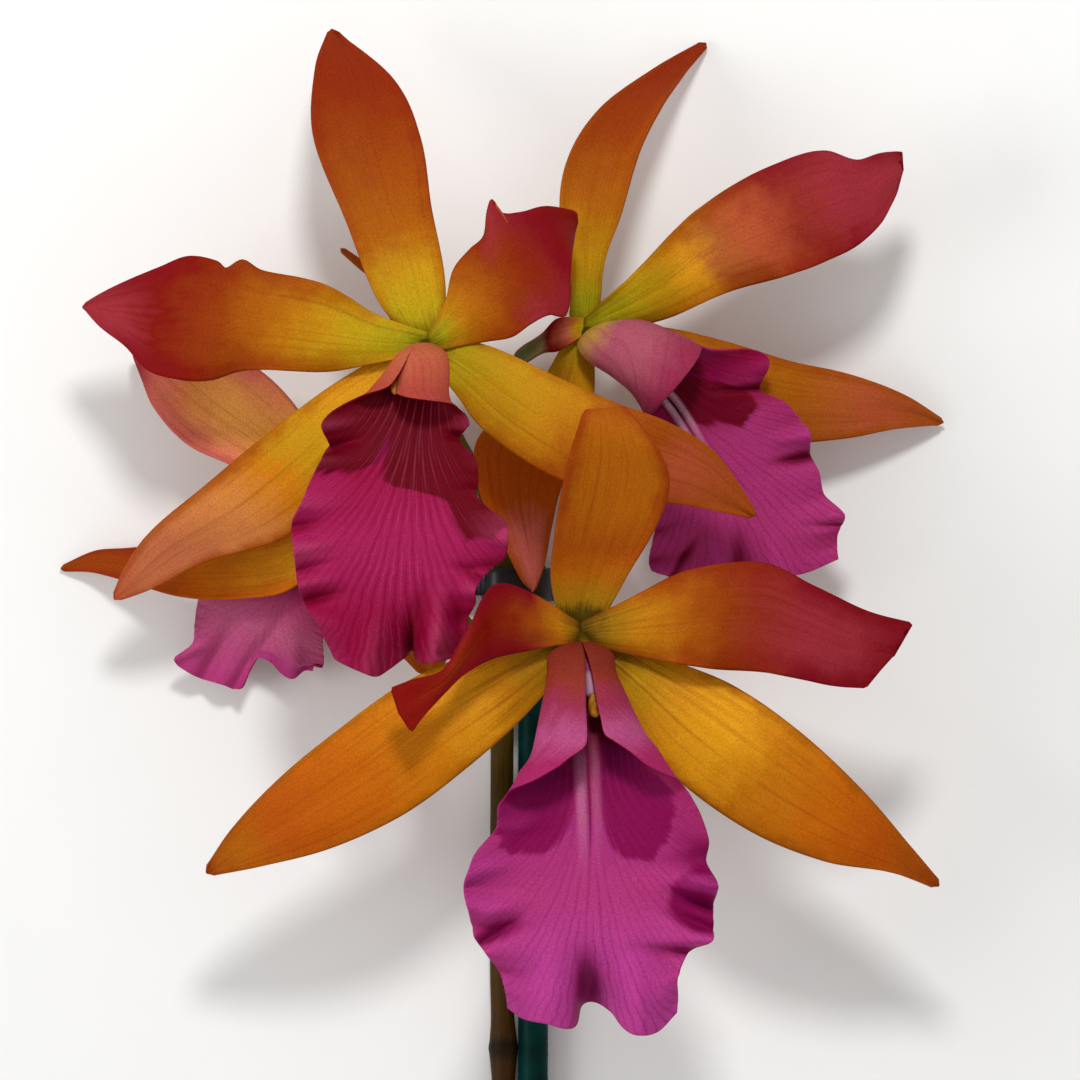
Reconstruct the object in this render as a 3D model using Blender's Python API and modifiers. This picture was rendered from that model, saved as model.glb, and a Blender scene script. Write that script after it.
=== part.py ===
# A cut spray of a cattleya orchid: four blooms on one stem, clipped to a plant stake, lying on its back.
# Metres, +Z up. The blooms face up, and the top of the spray is at +Y.
# Outlines are read in pixels of the 1080 by 1080 photo, seen from above. Heights above the table are in mm.
import math

import bmesh
import bpy
from mathutils import Vector

# Driving dimensions
MM = 0.001
BLOOM_SPAN = 131.0 * MM  # the lowest bloom, between the tips of its lateral sepals
BLOOM_SPAN_PIXELS = 731.0
PIXEL = BLOOM_SPAN / BLOOM_SPAN_PIXELS
PHOTO_MIDDLE = 540.0
SEAT_GAP = 0.3 * MM

TEPAL_THICKNESS = 0.9 * MM
TEPAL_STEPS_ALONG = 10
TEPAL_STEPS_ACROSS = 6
BELLY_END = 0.87  # how far out the cup and the waves of a sepal or petal reach, as a share of its length
WAVE_SHIFT = 2.0  # how far the waves of its two edges are out of step, in radians

LIP_THICKNESS = 0.8 * MM
LIP_STEPS_ALONG = 24
LIP_STEPS_ACROSS = 14
RIDGE_HEIGHT = 0.9 * MM  # two keels run down the middle of each lip
RIDGE_PLACE = 1.0 / 7.0  # how far out a keel runs, from the middle to the edge of the lip
RIDGE_RISE = (0.1, 0.3)  # where the keels rise and fall, as shares of the lip's length
RIDGE_FALL = (0.55, 0.9)
FACE_TURN = 0.3  # the share of its length over which a lip turns its face
RUFFLE_RISE = 0.25  # the share of its length over which the ruffles set in
RUFFLE_POWER = 2.5  # how close to the margin the ruffles stay
RUFFLE_SHIFT = 0.8
NOTCH_START = 0.85
NOTCH_WIDTH = 0.16

STEM_RADIUS = 2.1 * MM
STEM_STEPS = 20
STEM_NODE_SWELL = 0.22
STEM_NODE_LENGTH = 4.0 * MM
STALK_RADIUS = 1.5 * MM
STALK_SWELL = 0.45  # a stalk is this much thicker at its ovary
STALK_STEPS = 9
KNOB_RADIUS = 2.9 * MM  # the end of the ovary, which the petals grow from
COLUMN_RADIUS = 1.3 * MM
COLUMN_FOOT = 1.2 * MM  # the column stands straight on the ovary for this much
COLUMN_FOOT_SHARE = 0.9  # its radius there, as a share of the radius in the throat
COLUMN_GROWTH = 0.05
COLUMN_STEPS = 6
ANTHER_RADIUS = 1.6 * MM
BALL_RINGS = 6

STAKE_RADIUS = 2.7 * MM
STAKE_X = 533
STAKE_TOP_Y = 560
STAKE_FOOT_Y = 1262
STAKE_SIDES = 16
CLIP_STEM_X = 504
CLIP_Y = 585
CLIP_WALL = 1.2 * MM
CLIP_WIDTH = 6.0 * MM
CLIP_LEVER = (6.5 * MM, 4.0 * MM, 1.2 * MM)
CLIP_LEVERS_APART = 3.4 * MM
CLIP_TURNS = 10
CLIP_HEIGHT = STAKE_RADIUS + SEAT_GAP + CLIP_WALL  # the stake's middle above the table at the clip

# A bloom's middle is where its sepals meet on the end of the ovary. A sepal or petal is a row of stations
# from its base to its tip. Each gives its left edge x and y and its right edge x and y, as seen from its
# base, its height and how much higher the right edge is. cup: how far the middle lies below the edges.
# wave: height of the waves along the edges.
# A lip is a row of stations along its floor: x, y, height, width to the left and to the right, and how
# far round its sides wrap, in degrees. face_base and face_tip point out of its open side.
BLOOM_A = {
    "middle": (428, 343, 36.0),
    "stalk": [(504, 545, 5.0), (487, 490, 10), (458, 425, 19), (435, 368, 28), (428, 343, 33)],
    "tepals": {
        "dorsal_sepal": {"cup": 1.6, "wave": 0.3, "waves": 2, "stations": [
            (411, 332, 445, 332, 36, 0), (378, 300, 445, 280, 37.5, 0), (346, 221, 431, 207, 36.5, 0),
            (313, 135, 420, 135, 32, 1), (314, 68, 393, 78, 25, 1), (327, 28, 334, 27, 17, 0)]},
        "left_petal": {"cup": -1.5, "wave": 1.2, "waves": 3, "stations": [
            (417, 353, 417, 332, 37.3, 0), (371, 364, 374, 314, 39, 1), (310, 376, 310, 280, 40.5, 2),
            (250, 370, 254, 267, 40, 2), (185, 381, 200, 256, 37, 1), (133, 352, 137, 279, 32, 0),
            (90, 316, 83, 302, 27, 0)]},
        "right_petal": {"cup": -1.5, "wave": 0.8, "waves": 2, "stations": [
            (440, 332, 440, 352, 37.3, 0), (447, 294, 482, 343, 39.5, 0), (468, 248, 517, 334, 42, -1),
            (490, 205, 545, 319, 44, -1), (532, 210, 566, 315, 45, 0), (576, 213, 573, 285, 42, 0),
            (572, 232, 566, 268, 35, 0)]},
        "left_sepal": {"cup": -1.8, "wave": 0.3, "waves": 2, "stations": [
            (427, 361, 409, 345, 35.7, 0), (384, 432, 336, 383, 35.5, 0), (334, 500, 262, 438, 34, 0),
            (278, 540, 203, 487, 31.5, 0), (205, 562, 148, 533, 28, 0), (150, 589, 122, 570, 24, 0),
            (116, 601, 110, 597, 20, 0)]},
        "right_sepal": {"cup": -1.5, "wave": 0.3, "waves": 2, "stations": [
            (448, 346, 431, 361, 35.7, 0), (491, 347, 456, 394, 38, 0), (560, 379, 484, 430, 41, 0),
            (617, 404, 545, 472, 42.5, 0), (667, 422, 612, 497, 43, 0), (713, 451, 678, 504, 41, 0),
            (743, 490, 724, 513, 38, 0), (757, 513, 752, 518, 36, 0)]},
    },
    "lip": {"face_base": (-0.3, 0.25, 0.92), "face_tip": (-0.05, 0.1, 1), "depth": 0.75, "turn": 0.35,
            "wave": 2.2, "waves": 5, "phase": 0.4, "notch": 3.5, "column_end": 0.2, "stations": [
        (428, 355, 38.6, 21, 21, 175), (425, 375, 41.5, 30, 29, 176), (421, 400, 45, 38, 36, 176),
        (420, 415, 47.5, 56, 46, 125), (416, 434, 49, 88, 52, 70), (408, 472, 50.5, 92, 70, 32),
        (402, 530, 51, 110, 106, 14), (398, 590, 49.5, 100, 80, 8), (400, 635, 47, 80, 68, 5),
        (405, 668, 43.5, 66, 50, 3)]},
}

BLOOM_B = {
    "middle": (584, 326, 22.0),
    "stalk": [(504, 545, 5.0), (530, 480, 8), (562, 405, 11), (580, 350, 16), (584, 326, 19)],
    "tepals": {
        "dorsal_sepal": {"cup": 1.4, "wave": 0.3, "waves": 2, "stations": [
            (570, 315, 600, 315, 22, 0), (571, 262, 605, 262, 24, 0), (560, 205, 621, 214, 25, 0),
            (570, 152, 640, 150, 22, 0), (600, 106, 663, 104, 16, 0), (652, 67, 683, 75, 8.5, 0),
            (704, 36, 709, 42, 0.9, 0)]},
        "left_petal": {"cup": 1.0, "wave": 0.3, "waves": 2, "stations": [
            (572, 336, 572, 318, 23.3, 0), (556, 349, 555, 316, 25.5, 0), (539, 354, 538, 324, 24, 0),
            (524, 359, 522, 340, 18.5, 0), (520, 366, 513, 352, 11, 0), (532, 378, 524, 372, 5, 0)]},
        "right_petal": {"cup": -1.6, "wave": 1.4, "waves": 3, "stations": [
            (596, 316, 597, 333, 23.3, 0), (643, 264, 668, 317, 25, -3.5), (690, 215, 735, 289, 28.5, -1),
            (746, 178, 795, 273, 31, 0), (803, 153, 845, 251, 31, 0), (858, 157, 880, 225, 29, 0),
            (908, 150, 899, 188, 25.5, 0)]},
        "left_sepal": {"cup": -1.4, "wave": 0.3, "waves": 2, "stations": [
            (587, 342, 568, 333, 21.7, 0), (594, 392, 536, 388, 21.5, 0), (584, 440, 478, 438, 22.5, 0),
            (562, 486, 480, 492, 21.5, 0), (551, 530, 504, 546, 19, 0), (545, 562, 521, 580, 16, 0),
            (535, 592, 530, 590, 13, 0)]},
        "right_sepal": {"cup": -1.6, "wave": 0.3, "waves": 2, "stations": [
            (601, 329, 590, 344, 21.7, 0), (666, 327, 650, 388, 19.5, 0), (730, 342, 715, 425, 18, 0),
            (790, 360, 780, 441, 15.5, 0), (850, 373, 845, 438, 11.5, 0), (905, 393, 900, 428, 7.5, 0),
            (947, 419, 945, 424, 2.0, 0)]},
    },
    "lip": {"face_base": (0.33, 0.6, 0.73), "face_tip": (0.25, 0.1, 0.95), "depth": 0.8, "turn": 0.45,
            "wave": 2.0, "waves": 5, "phase": 1.4, "notch": 3.0, "column_end": 0.3, "stations": [
        (588, 345, 25.4, 22, 22, 175), (601, 359, 26.6, 32, 32, 176), (617, 373, 27, 39, 39, 176),
        (638, 387, 26.4, 43, 43, 176), (660, 402, 25.8, 50, 50, 165), (676, 419, 25.4, 66, 84, 98),
        (694, 442, 24.6, 66, 90, 54), (712, 472, 23.2, 66, 104, 28), (726, 507, 22, 76, 114, 14),
        (738, 546, 20, 92, 122, 8), (746, 580, 17.5, 84, 96, 4)]},
}

BLOOM_C = {
    "middle": (580, 632, 42.0),
    "stalk": [(503, 700, 4.0), (520, 690, 13), (548, 668, 26), (572, 642, 35), (580, 632, 39)],
    "tepals": {
        "dorsal_sepal": {"cup": 1.6, "wave": 0.3, "waves": 2, "stations": [
            (563, 621, 597, 621, 42, 0), (551, 580, 626, 578, 45.5, 0), (556, 525, 656, 526, 50, 0),
            (566, 470, 669, 482, 54.5, 0), (577, 430, 655, 446, 57, 0), (586, 411, 624, 408, 55.5, 0),
            (594, 416, 614, 412, 51, 0)]},
        "left_petal": {"cup": -1.0, "wave": 0.5, "waves": 2, "stations": [
            (568, 641, 568, 622, 43.3, 0), (530, 650, 529, 592, 46.5, 0), (496, 657, 494, 585, 50, 1),
            (470, 670, 468, 628, 53.5, 1), (445, 692, 444, 668, 55.5, 1), (424, 716, 412, 679, 56, 0),
            (411, 734, 388, 688, 55, 0)]},
        "right_petal": {"cup": -1.6, "wave": 1.2, "waves": 3, "stations": [
            (592, 622, 592, 641, 43.3, 0), (640, 593, 640, 656, 46, 0), (692, 569, 700, 667, 48, 0),
            (762, 563, 757, 671, 48, 0), (815, 586, 805, 680, 46, 0), (868, 611, 835, 686, 43.5, 0),
            (917, 624, 868, 688, 41, 0)]},
        "left_sepal": {"cup": -1.8, "wave": 0.3, "waves": 2, "stations": [
            (578, 650, 562, 634, 41.7, 0), (524, 716, 482, 650, 42, 0), (457, 775, 404, 683, 43, 0),
            (400, 816, 337, 731, 42, 0), (330, 848, 280, 778, 39, 0), (262, 866, 232, 828, 35, 0),
            (209, 876, 204, 870, 31, 0)]},
        "right_sepal": {"cup": -1.8, "wave": 0.3, "waves": 2, "stations": [
            (598, 634, 582, 650, 41.7, 0), (658, 655, 625, 704, 42, 0), (730, 684, 664, 766, 43, 0),
            (800, 732, 742, 826, 42.5, 0), (862, 790, 822, 860, 40, 0), (912, 848, 893, 873, 37, 0),
            (941, 883, 936, 889, 34, 0)]},
    },
    "lip": {"face_base": (0, 0.2, 1), "face_tip": (0, 0.1, 1), "depth": 0.62, "turn": 0.4,
            "wave": 2.0, "waves": 5, "phase": 0.0, "notch": 4.5, "column_end": 0.22, "stations": [
        (580, 645, 44.6, 27, 27, 175), (581, 677, 46, 36, 36, 176), (583, 715, 48, 44, 48, 176),
        (584, 747, 50, 54, 64, 170), (586, 772, 51.5, 70, 80, 112), (588, 794, 53, 82, 94, 62),
        (590, 832, 54.5, 97, 116, 30), (590, 885, 55, 122, 124, 14), (589, 938, 54, 110, 114, 8),
        (588, 985, 51, 92, 92, 5), (588, 1026, 47.5, 74, 84, 3)]},
}

BLOOM_D = {
    "middle": (350, 505, 20.5),
    "stalk": [(503, 668, 4.0), (462, 622, 15), (412, 566, 23), (370, 524, 25.5), (350, 505, 23.5)],
    "tepals": {
        "dorsal_sepal": {"cup": -1.2, "wave": 0.3, "waves": 2, "stations": [
            (333, 492, 367, 492, 20.5, 0), (340, 440, 402, 440, 22, 0), (352, 385, 418, 385, 22, 0),
            (388, 330, 424, 330, 20.5, 0), (384, 290, 408, 285, 18.5, 0), (362, 269, 374, 259, 16.5, 0),
            (339, 249, 342, 246, 14.5, 0)]},
        "left_petal": {"cup": 1.4, "wave": 0.8, "waves": 2, "stations": [
            (334, 514, 337, 496, 19.2, 0), (290, 500, 318, 448, 19.5, 0), (233, 467, 296, 408, 19, 0),
            (185, 443, 258, 369, 16.5, 0), (152, 408, 212, 345, 13, 0), (138, 375, 165, 335, 9, 0),
            (129, 352, 134, 345, 5, 0)]},
        "right_petal": {"cup": 1.0, "wave": 0.3, "waves": 2, "stations": [
            (364, 494, 367, 512, 19.2, 0), (384, 456, 420, 490, 17, 0), (410, 420, 452, 450, 12, 0),
            (424, 390, 452, 412, 6.5, 0), (434, 374, 444, 382, 3, 0)]},
        "left_sepal": {"cup": 1.4, "wave": 0.3, "waves": 2, "stations": [
            (348, 522, 332, 507, 20.7, 0), (294, 586, 285, 530, 19, 0), (239, 599, 225, 540, 17, 0),
            (180, 597, 172, 544, 13, 0), (125, 582, 125, 548, 8, 0), (90, 573, 92, 551, 3.6, 0),
            (58, 571, 57, 567, 0.9, 0)]},
        "right_sepal": {"cup": -1.2, "wave": 0.3, "waves": 2, "stations": [
            (368, 507, 352, 523, 20.7, 0), (402, 556, 352, 580, 17, 0), (436, 612, 378, 636, 14, 0),
            (448, 650, 404, 660, 11, 0), (440, 674, 420, 676, 9, 0)]},
    },
    "lip": {"face_base": (-0.3, -0.1, -0.95), "face_tip": (-0.2, -0.1, -1), "depth": 0.7, "turn": 0.35,
            "wave": 1.6, "waves": 4, "phase": 0.9, "notch": 5.5, "column_end": 0.18, "stations": [
        (333, 527, 17.6, 22, 22, 174), (320, 540, 16.2, 29, 29, 175), (307, 554, 14.5, 35, 35, 150),
        (292, 572, 13, 44, 44, 90), (274, 602, 11, 58, 66, 40), (257, 630, 9, 68, 72, 18),
        (249, 656, 6.5, 76, 76, 8), (248, 681, 4.5, 74, 66, 4)]},
}

STEM_ROUTE = [(502, 1225, 3.2), (503, 1052, 3.1), (501, 971, 3.2), (502, 729, 3.8), (504, 620, 4.2),
              (504, 575, 4.2), (504, 545, 5.0)]
STEM_NODE_Y = 1052  # a ring where a leaf sheath once sat

# Materials: linear colours
SEPAL_COLOUR = (0.55, 0.19, 0.01)
PETAL_COLOUR = (0.50, 0.08, 0.02)
LIP_COLOUR = (0.38, 0.02, 0.16)
COLUMN_COLOUR = (0.40, 0.10, 0.16)
ANTHER_COLOUR = (0.55, 0.28, 0.02)
STEM_COLOUR = (0.06, 0.09, 0.01)
STAKE_COLOUR = (0.01, 0.08, 0.09)
CLIP_COLOUR = (0.02, 0.02, 0.025)
PLANT_ROUGHNESS = 0.55
PLASTIC_ROUGHNESS = 0.35


def clear_scene():
    for item in list(bpy.data.objects):
        bpy.data.objects.remove(item)


def photo_point(x, y, height):
    # A place on the photo at a height in mm above the table
    return Vector(((x - PHOTO_MIDDLE) * PIXEL, (PHOTO_MIDDLE - y) * PIXEL, height * MM))


def read_row(rows, along):
    # The smooth Catmull-Rom curve through the rows, read from 0 at the first to 1 at the last
    last = len(rows) - 1
    place = min(max(along, 0.0), 1.0) * last
    index = min(int(place), last - 1)
    part = place - index
    found = []
    for column in range(len(rows[0])):
        start = rows[index][column]
        end = rows[index + 1][column]
        before = rows[index - 1][column] if index > 0 else 2 * start - end
        after = rows[index + 2][column] if index + 2 <= last else 2 * end - start
        pull = end - before
        bend = 2 * before - 5 * start + 4 * end - after
        turn = 3 * start - before - 3 * end + after
        found.append(start + 0.5 * part * (pull + part * (bend + part * turn)))
    return found


def add_material(name, colour, roughness):
    material = bpy.data.materials.new(name)
    material.use_nodes = True
    shader = material.node_tree.nodes["Principled BSDF"]
    shader.inputs["Base Color"].default_value = (*colour, 1.0)
    shader.inputs["Roughness"].default_value = roughness
    shader.inputs["Metallic"].default_value = 0.0
    return material


def add_object(name, data, material):
    item = bpy.data.objects.new(name, data)
    data.materials.append(material)
    spray.objects.link(item)
    item.parent = spray_middle
    return item


def add_sheet(name, place, steps_along, steps_across, thickness, material):
    # A thin blade: a grid laid on place(along 0 to 1, across -1 to 1), alike on both faces
    shape = bmesh.new()
    bmesh.ops.create_grid(shape, x_segments=steps_along, y_segments=steps_across, size=0.5)
    for vertex in shape.verts:
        vertex.co = place(vertex.co.x + 0.5, vertex.co.y * 2.0)
    bmesh.ops.triangulate(shape, faces=shape.faces[:], quad_method="FIXED")
    mesh = bpy.data.meshes.new(name)
    shape.to_mesh(mesh)
    shape.free()
    mesh.shade_smooth()
    item = add_object(name, mesh, material)
    wall = item.modifiers.new("wall", "SOLIDIFY")
    wall.thickness = thickness
    wall.offset = 0.0
    return item


def tepal_place(tepal):
    # The surface of a sepal or petal
    def place(along, across):
        left_x, left_y, right_x, right_y, height, lean = read_row(tepal["stations"], along)
        left = photo_point(left_x, left_y, height - lean / 2)
        right = photo_point(right_x, right_y, height + lean / 2)
        point = left.lerp(right, (across + 1) / 2)
        belly = math.sin(math.pi * min(along / BELLY_END, 1.0))
        dip = tepal["cup"] * belly * (1 - across ** 2)
        side = 0.0 if across < 0 else WAVE_SHIFT
        ripple = tepal["wave"] * belly * across ** 4 * math.sin(2 * math.pi * tepal["waves"] * along + side)
        point.z += (ripple - dip) * MM
        return point
    return place


def ease(value):
    value = min(max(value, 0.0), 1.0)
    return value * value * (3 - 2 * value)


def ridge_share(along):
    # How much of its height a keel has at this share of the lip's length
    rise = ease((along - RIDGE_RISE[0]) / (RIDGE_RISE[1] - RIDGE_RISE[0]))
    fall = ease((along - RIDGE_FALL[0]) / (RIDGE_FALL[1] - RIDGE_FALL[0]))
    return rise * (1 - fall)


def lip_frame(lip, along):
    # The floor point of a lip, the way out of its open side and the way to its right
    step = 0.01
    here = read_row(lip["stations"], along)
    back = photo_point(*read_row(lip["stations"], along - step)[:3])
    ahead = photo_point(*read_row(lip["stations"], along + step)[:3])
    turned = ease((along - lip["turn"]) / FACE_TURN + 0.5)
    face = Vector(lip["face_base"]).lerp(Vector(lip["face_tip"]), turned).normalized()
    side = face.cross(ahead - back).normalized()
    return here, photo_point(*here[:3]), face, side


def lip_place(lip):
    # The surface of a lip: wrapped round its column at the base, open and ruffled at the tip
    def place(along, across):
        here, floor, face, side = lip_frame(lip, along)
        half = (here[3] if across < 0 else here[4]) * PIXEL
        wrap = math.radians(max(here[5], 2.0))
        radius = half / math.sin(wrap) if wrap < math.pi / 2 else half
        out = math.copysign(radius * math.sin(wrap * abs(across)), across)
        depth = lip["depth"] if wrap > 1.0 else 1.0 + (lip["depth"] - 1.0) * wrap
        up = radius * depth * (1 - math.cos(wrap * across))
        open_part = ease((along - lip["turn"]) / RUFFLE_RISE)
        edge = abs(across) ** RUFFLE_POWER
        shift = lip["phase"] + math.copysign(RUFFLE_SHIFT, across)
        swing = math.sin(2 * math.pi * lip["waves"] * along + shift)
        up += lip["wave"] * MM * open_part * edge * swing
        if math.isclose(abs(across), RIDGE_PLACE, abs_tol=0.01):
            up += RIDGE_HEIGHT * ridge_share(along)
        cut = max(0.0, (along - NOTCH_START) / (1 - NOTCH_START)) * math.exp(-(across / NOTCH_WIDTH) ** 2)
        forward = face.cross(side)
        return floor + side * out + face * up + forward * lip["notch"] * MM * cut
    return place


def tube_curve(name, points, radii):
    # A round rod through the points, with flat ends
    curve = bpy.data.curves.new(name, "CURVE")
    curve.dimensions = "3D"
    curve.bevel_depth = 1.0
    curve.bevel_resolution = 2
    curve.use_fill_caps = True
    spline = curve.splines.new("POLY")
    spline.points.add(len(points) - 1)
    for target, point, radius in zip(spline.points, points, radii):
        target.co = (*point, 1.0)
        target.radius = radius
    return curve


def curve_to_mesh(curve):
    # A closed mesh of a curve, which a union can take
    holder = bpy.data.objects.new("holder", curve)
    bpy.context.scene.collection.objects.link(holder)
    graph = bpy.context.evaluated_depsgraph_get()
    mesh = bpy.data.meshes.new_from_object(holder.evaluated_get(graph))
    bpy.data.objects.remove(holder)
    shape = bmesh.new()
    shape.from_mesh(mesh)
    bmesh.ops.remove_doubles(shape, verts=shape.verts[:], dist=0.01 * MM)
    bmesh.ops.recalc_face_normals(shape, faces=shape.faces[:])
    shape.to_mesh(mesh)
    shape.free()
    return mesh


def join_meshes(name, first, others, material):
    # One body out of several that overlap
    pieces = bpy.data.collections.new(name + "_pieces")
    bpy.context.scene.collection.children.link(pieces)
    for mesh in others:
        pieces.objects.link(bpy.data.objects.new("piece", mesh))
    item = add_object(name, first, material)
    union = item.modifiers.new("union", "BOOLEAN")
    union.operation = "UNION"
    union.operand_type = "COLLECTION"
    union.collection = pieces
    union.solver = "EXACT"
    graph = bpy.context.evaluated_depsgraph_get()
    joined = bpy.data.meshes.new_from_object(item.evaluated_get(graph))
    item.modifiers.clear()
    item.data = joined
    for piece in list(pieces.objects):
        bpy.data.objects.remove(piece)
    bpy.data.collections.remove(pieces)
    return item


def ball_mesh(name, centre, radius):
    shape = bmesh.new()
    bmesh.ops.create_uvsphere(shape, u_segments=2 * BALL_RINGS, v_segments=BALL_RINGS, radius=radius)
    bmesh.ops.translate(shape, verts=shape.verts[:], vec=centre)
    mesh = bpy.data.meshes.new(name)
    shape.to_mesh(mesh)
    shape.free()
    return mesh


def route_points(rows, count):
    return [photo_point(*read_row(rows, step / (count - 1))) for step in range(count)]


def add_stem():
    # The main stem with the four stalks and ovaries, grown as one
    points = route_points(STEM_ROUTE, STEM_STEPS)
    node_place = photo_point(0, STEM_NODE_Y, 0).y
    radii = []
    for point in points:
        near_node = math.exp(-((point.y - node_place) / STEM_NODE_LENGTH) ** 2)
        radii.append(STEM_RADIUS * (1 + STEM_NODE_SWELL * near_node))
    main = curve_to_mesh(tube_curve("main", points, radii))
    others = []
    for bloom in BLOOMS.values():
        stalk_points = route_points(bloom["stalk"], STALK_STEPS)
        shares = [step / (STALK_STEPS - 1) for step in range(STALK_STEPS)]
        stalk_radii = [STALK_RADIUS * (1 + STALK_SWELL * share ** 2) for share in shares]
        others.append(curve_to_mesh(tube_curve("stalk", stalk_points, stalk_radii)))
        others.append(ball_mesh("knob", photo_point(*bloom["stalk"][-1]), KNOB_RADIUS))
    stem = join_meshes("flower_stem", main, others, stem_material)
    stem.data.shade_smooth()


def add_column(name, bloom):
    # The column stands on the end of the ovary and runs up the middle of the lip's tube
    lip = bloom["lip"]
    knob = photo_point(*bloom["stalk"][-1])
    points = []
    for step in range(COLUMN_STEPS):
        here, floor, face, side = lip_frame(lip, lip["column_end"] * step / (COLUMN_STEPS - 1))
        half = (here[3] + here[4]) / 2 * PIXEL
        points.append(floor + face * half * lip["depth"])
    out = (photo_point(*bloom["middle"]) - knob).normalized()
    foot = knob + out * (KNOB_RADIUS + SEAT_GAP)
    points = [foot, foot + out * COLUMN_FOOT] + points
    radii = [COLUMN_RADIUS * (COLUMN_FOOT_SHARE + COLUMN_GROWTH * step) for step in range(len(points))]
    add_object(name + "_column", tube_curve(name + "_column", points, radii), column_material)
    way = (points[-1] - points[-2]).normalized()
    cap = ball_mesh("cap", Vector((0, 0, 0)), ANTHER_RADIUS)
    anther = add_object(name + "_anther_cap", cap, anther_material)
    anther.location = points[-1] + way * (ANTHER_RADIUS + SEAT_GAP)
    cap.shade_smooth()


def add_bloom(letter, bloom):
    name = "bloom_" + letter
    for part_name, tepal in bloom["tepals"].items():
        material = sepal_material if part_name.endswith("sepal") else petal_material
        add_sheet(name + "_" + part_name, tepal_place(tepal), TEPAL_STEPS_ALONG, TEPAL_STEPS_ACROSS,
                  TEPAL_THICKNESS, material)
    add_sheet(name + "_lip", lip_place(bloom["lip"]), LIP_STEPS_ALONG, LIP_STEPS_ACROSS,
              LIP_THICKNESS, lip_material)
    add_column(name, bloom)


def add_stake():
    # A round stake that lies on its foot and in the clip
    foot = photo_point(STAKE_X, STAKE_FOOT_Y, STAKE_RADIUS / MM)
    clip_place = photo_point(STAKE_X, CLIP_Y, CLIP_HEIGHT / MM)
    top_part = (STAKE_FOOT_Y - STAKE_TOP_Y) / (STAKE_FOOT_Y - CLIP_Y)
    top = foot.lerp(clip_place, top_part)
    way = top - foot
    shape = bmesh.new()
    bmesh.ops.create_cone(shape, cap_ends=True, segments=STAKE_SIDES, radius1=STAKE_RADIUS,
                          radius2=STAKE_RADIUS, depth=way.length)
    mesh = bpy.data.meshes.new("stake")
    shape.to_mesh(mesh)
    shape.free()
    mesh.shade_smooth()
    mesh.set_sharp_from_angle(angle=math.radians(40))
    stake = add_object("stake", mesh, stake_material)
    stake.location = (foot + top) / 2
    stake.rotation_mode = "QUATERNION"
    stake.rotation_quaternion = way.to_track_quat("Z", "Y")


def add_clip():
    # A band round stem and stake, with two levers to pinch it open
    stem_side = photo_point(CLIP_STEM_X, CLIP_Y, 0).x
    stake_side = photo_point(STAKE_X, CLIP_Y, 0).x
    inner = STAKE_RADIUS + SEAT_GAP
    curve = bpy.data.curves.new("band", "CURVE")
    curve.dimensions = "2D"
    curve.fill_mode = "BOTH"
    curve.extrude = CLIP_WIDTH / 2
    for radius in (inner + CLIP_WALL, inner):
        spline = curve.splines.new("POLY")
        corners = []
        for middle, start in ((stake_side, -90), (stem_side, 90)):
            for step in range(CLIP_TURNS + 1):
                angle = math.radians(start + 180 * step / CLIP_TURNS)
                corners.append((middle + radius * math.cos(angle), radius * math.sin(angle)))
        spline.points.add(len(corners) - 1)
        for target, corner in zip(spline.points, corners):
            target.co = (corner[0], corner[1], 0.0, 1.0)
        spline.use_cyclic_u = True
    band = curve_to_mesh(curve)
    levers = []
    length, width, thickness = CLIP_LEVER
    for turn in (-1, 1):
        shape = bmesh.new()
        bmesh.ops.create_cube(shape, size=1.0)
        bmesh.ops.scale(shape, verts=shape.verts[:], vec=(length, thickness, width))
        place = Vector((stem_side - inner - length / 2, turn * CLIP_LEVERS_APART / 2, 0))
        bmesh.ops.translate(shape, verts=shape.verts[:], vec=place)
        mesh = bpy.data.meshes.new("lever")
        shape.to_mesh(mesh)
        shape.free()
        levers.append(mesh)
    clip = join_meshes("stake_clip", band, levers, clip_material)
    clip.location = (0, photo_point(0, CLIP_Y, 0).y, CLIP_HEIGHT)
    clip.rotation_euler = (math.radians(90), 0, 0)


def centre_spray():
    # Put the middle of the spray's footprint at the origin, on the table
    bpy.context.view_layer.update()
    graph = bpy.context.evaluated_depsgraph_get()
    corners = []
    for item in spray.objects:
        if item.type == "EMPTY":
            continue
        shown = item.evaluated_get(graph)
        corners += [shown.matrix_world @ Vector(corner) for corner in shown.bound_box]
    low = Vector([min(corner[axis] for corner in corners) for axis in range(3)])
    high = Vector([max(corner[axis] for corner in corners) for axis in range(3)])
    middle = (low + high) / 2
    spray_middle.location = (-middle.x, -middle.y, -low.z)


clear_scene()
BLOOMS = {"a": BLOOM_A, "b": BLOOM_B, "c": BLOOM_C, "d": BLOOM_D}
spray = bpy.data.collections.new("cattleya_orchid")
bpy.context.scene.collection.children.link(spray)
spray_middle = bpy.data.objects.new("cattleya_orchid_middle", None)
spray.objects.link(spray_middle)
sepal_material = add_material("sepal", SEPAL_COLOUR, PLANT_ROUGHNESS)
petal_material = add_material("petal", PETAL_COLOUR, PLANT_ROUGHNESS)
lip_material = add_material("lip", LIP_COLOUR, PLANT_ROUGHNESS)
column_material = add_material("column", COLUMN_COLOUR, PLANT_ROUGHNESS)
anther_material = add_material("anther_cap", ANTHER_COLOUR, PLANT_ROUGHNESS)
stem_material = add_material("stem", STEM_COLOUR, PLANT_ROUGHNESS)
stake_material = add_material("stake", STAKE_COLOUR, PLASTIC_ROUGHNESS)
clip_material = add_material("clip", CLIP_COLOUR, PLASTIC_ROUGHNESS)

add_stem()
add_stake()
add_clip()
for letter, bloom in BLOOMS.items():
    add_bloom(letter, bloom)
centre_spray()
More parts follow.
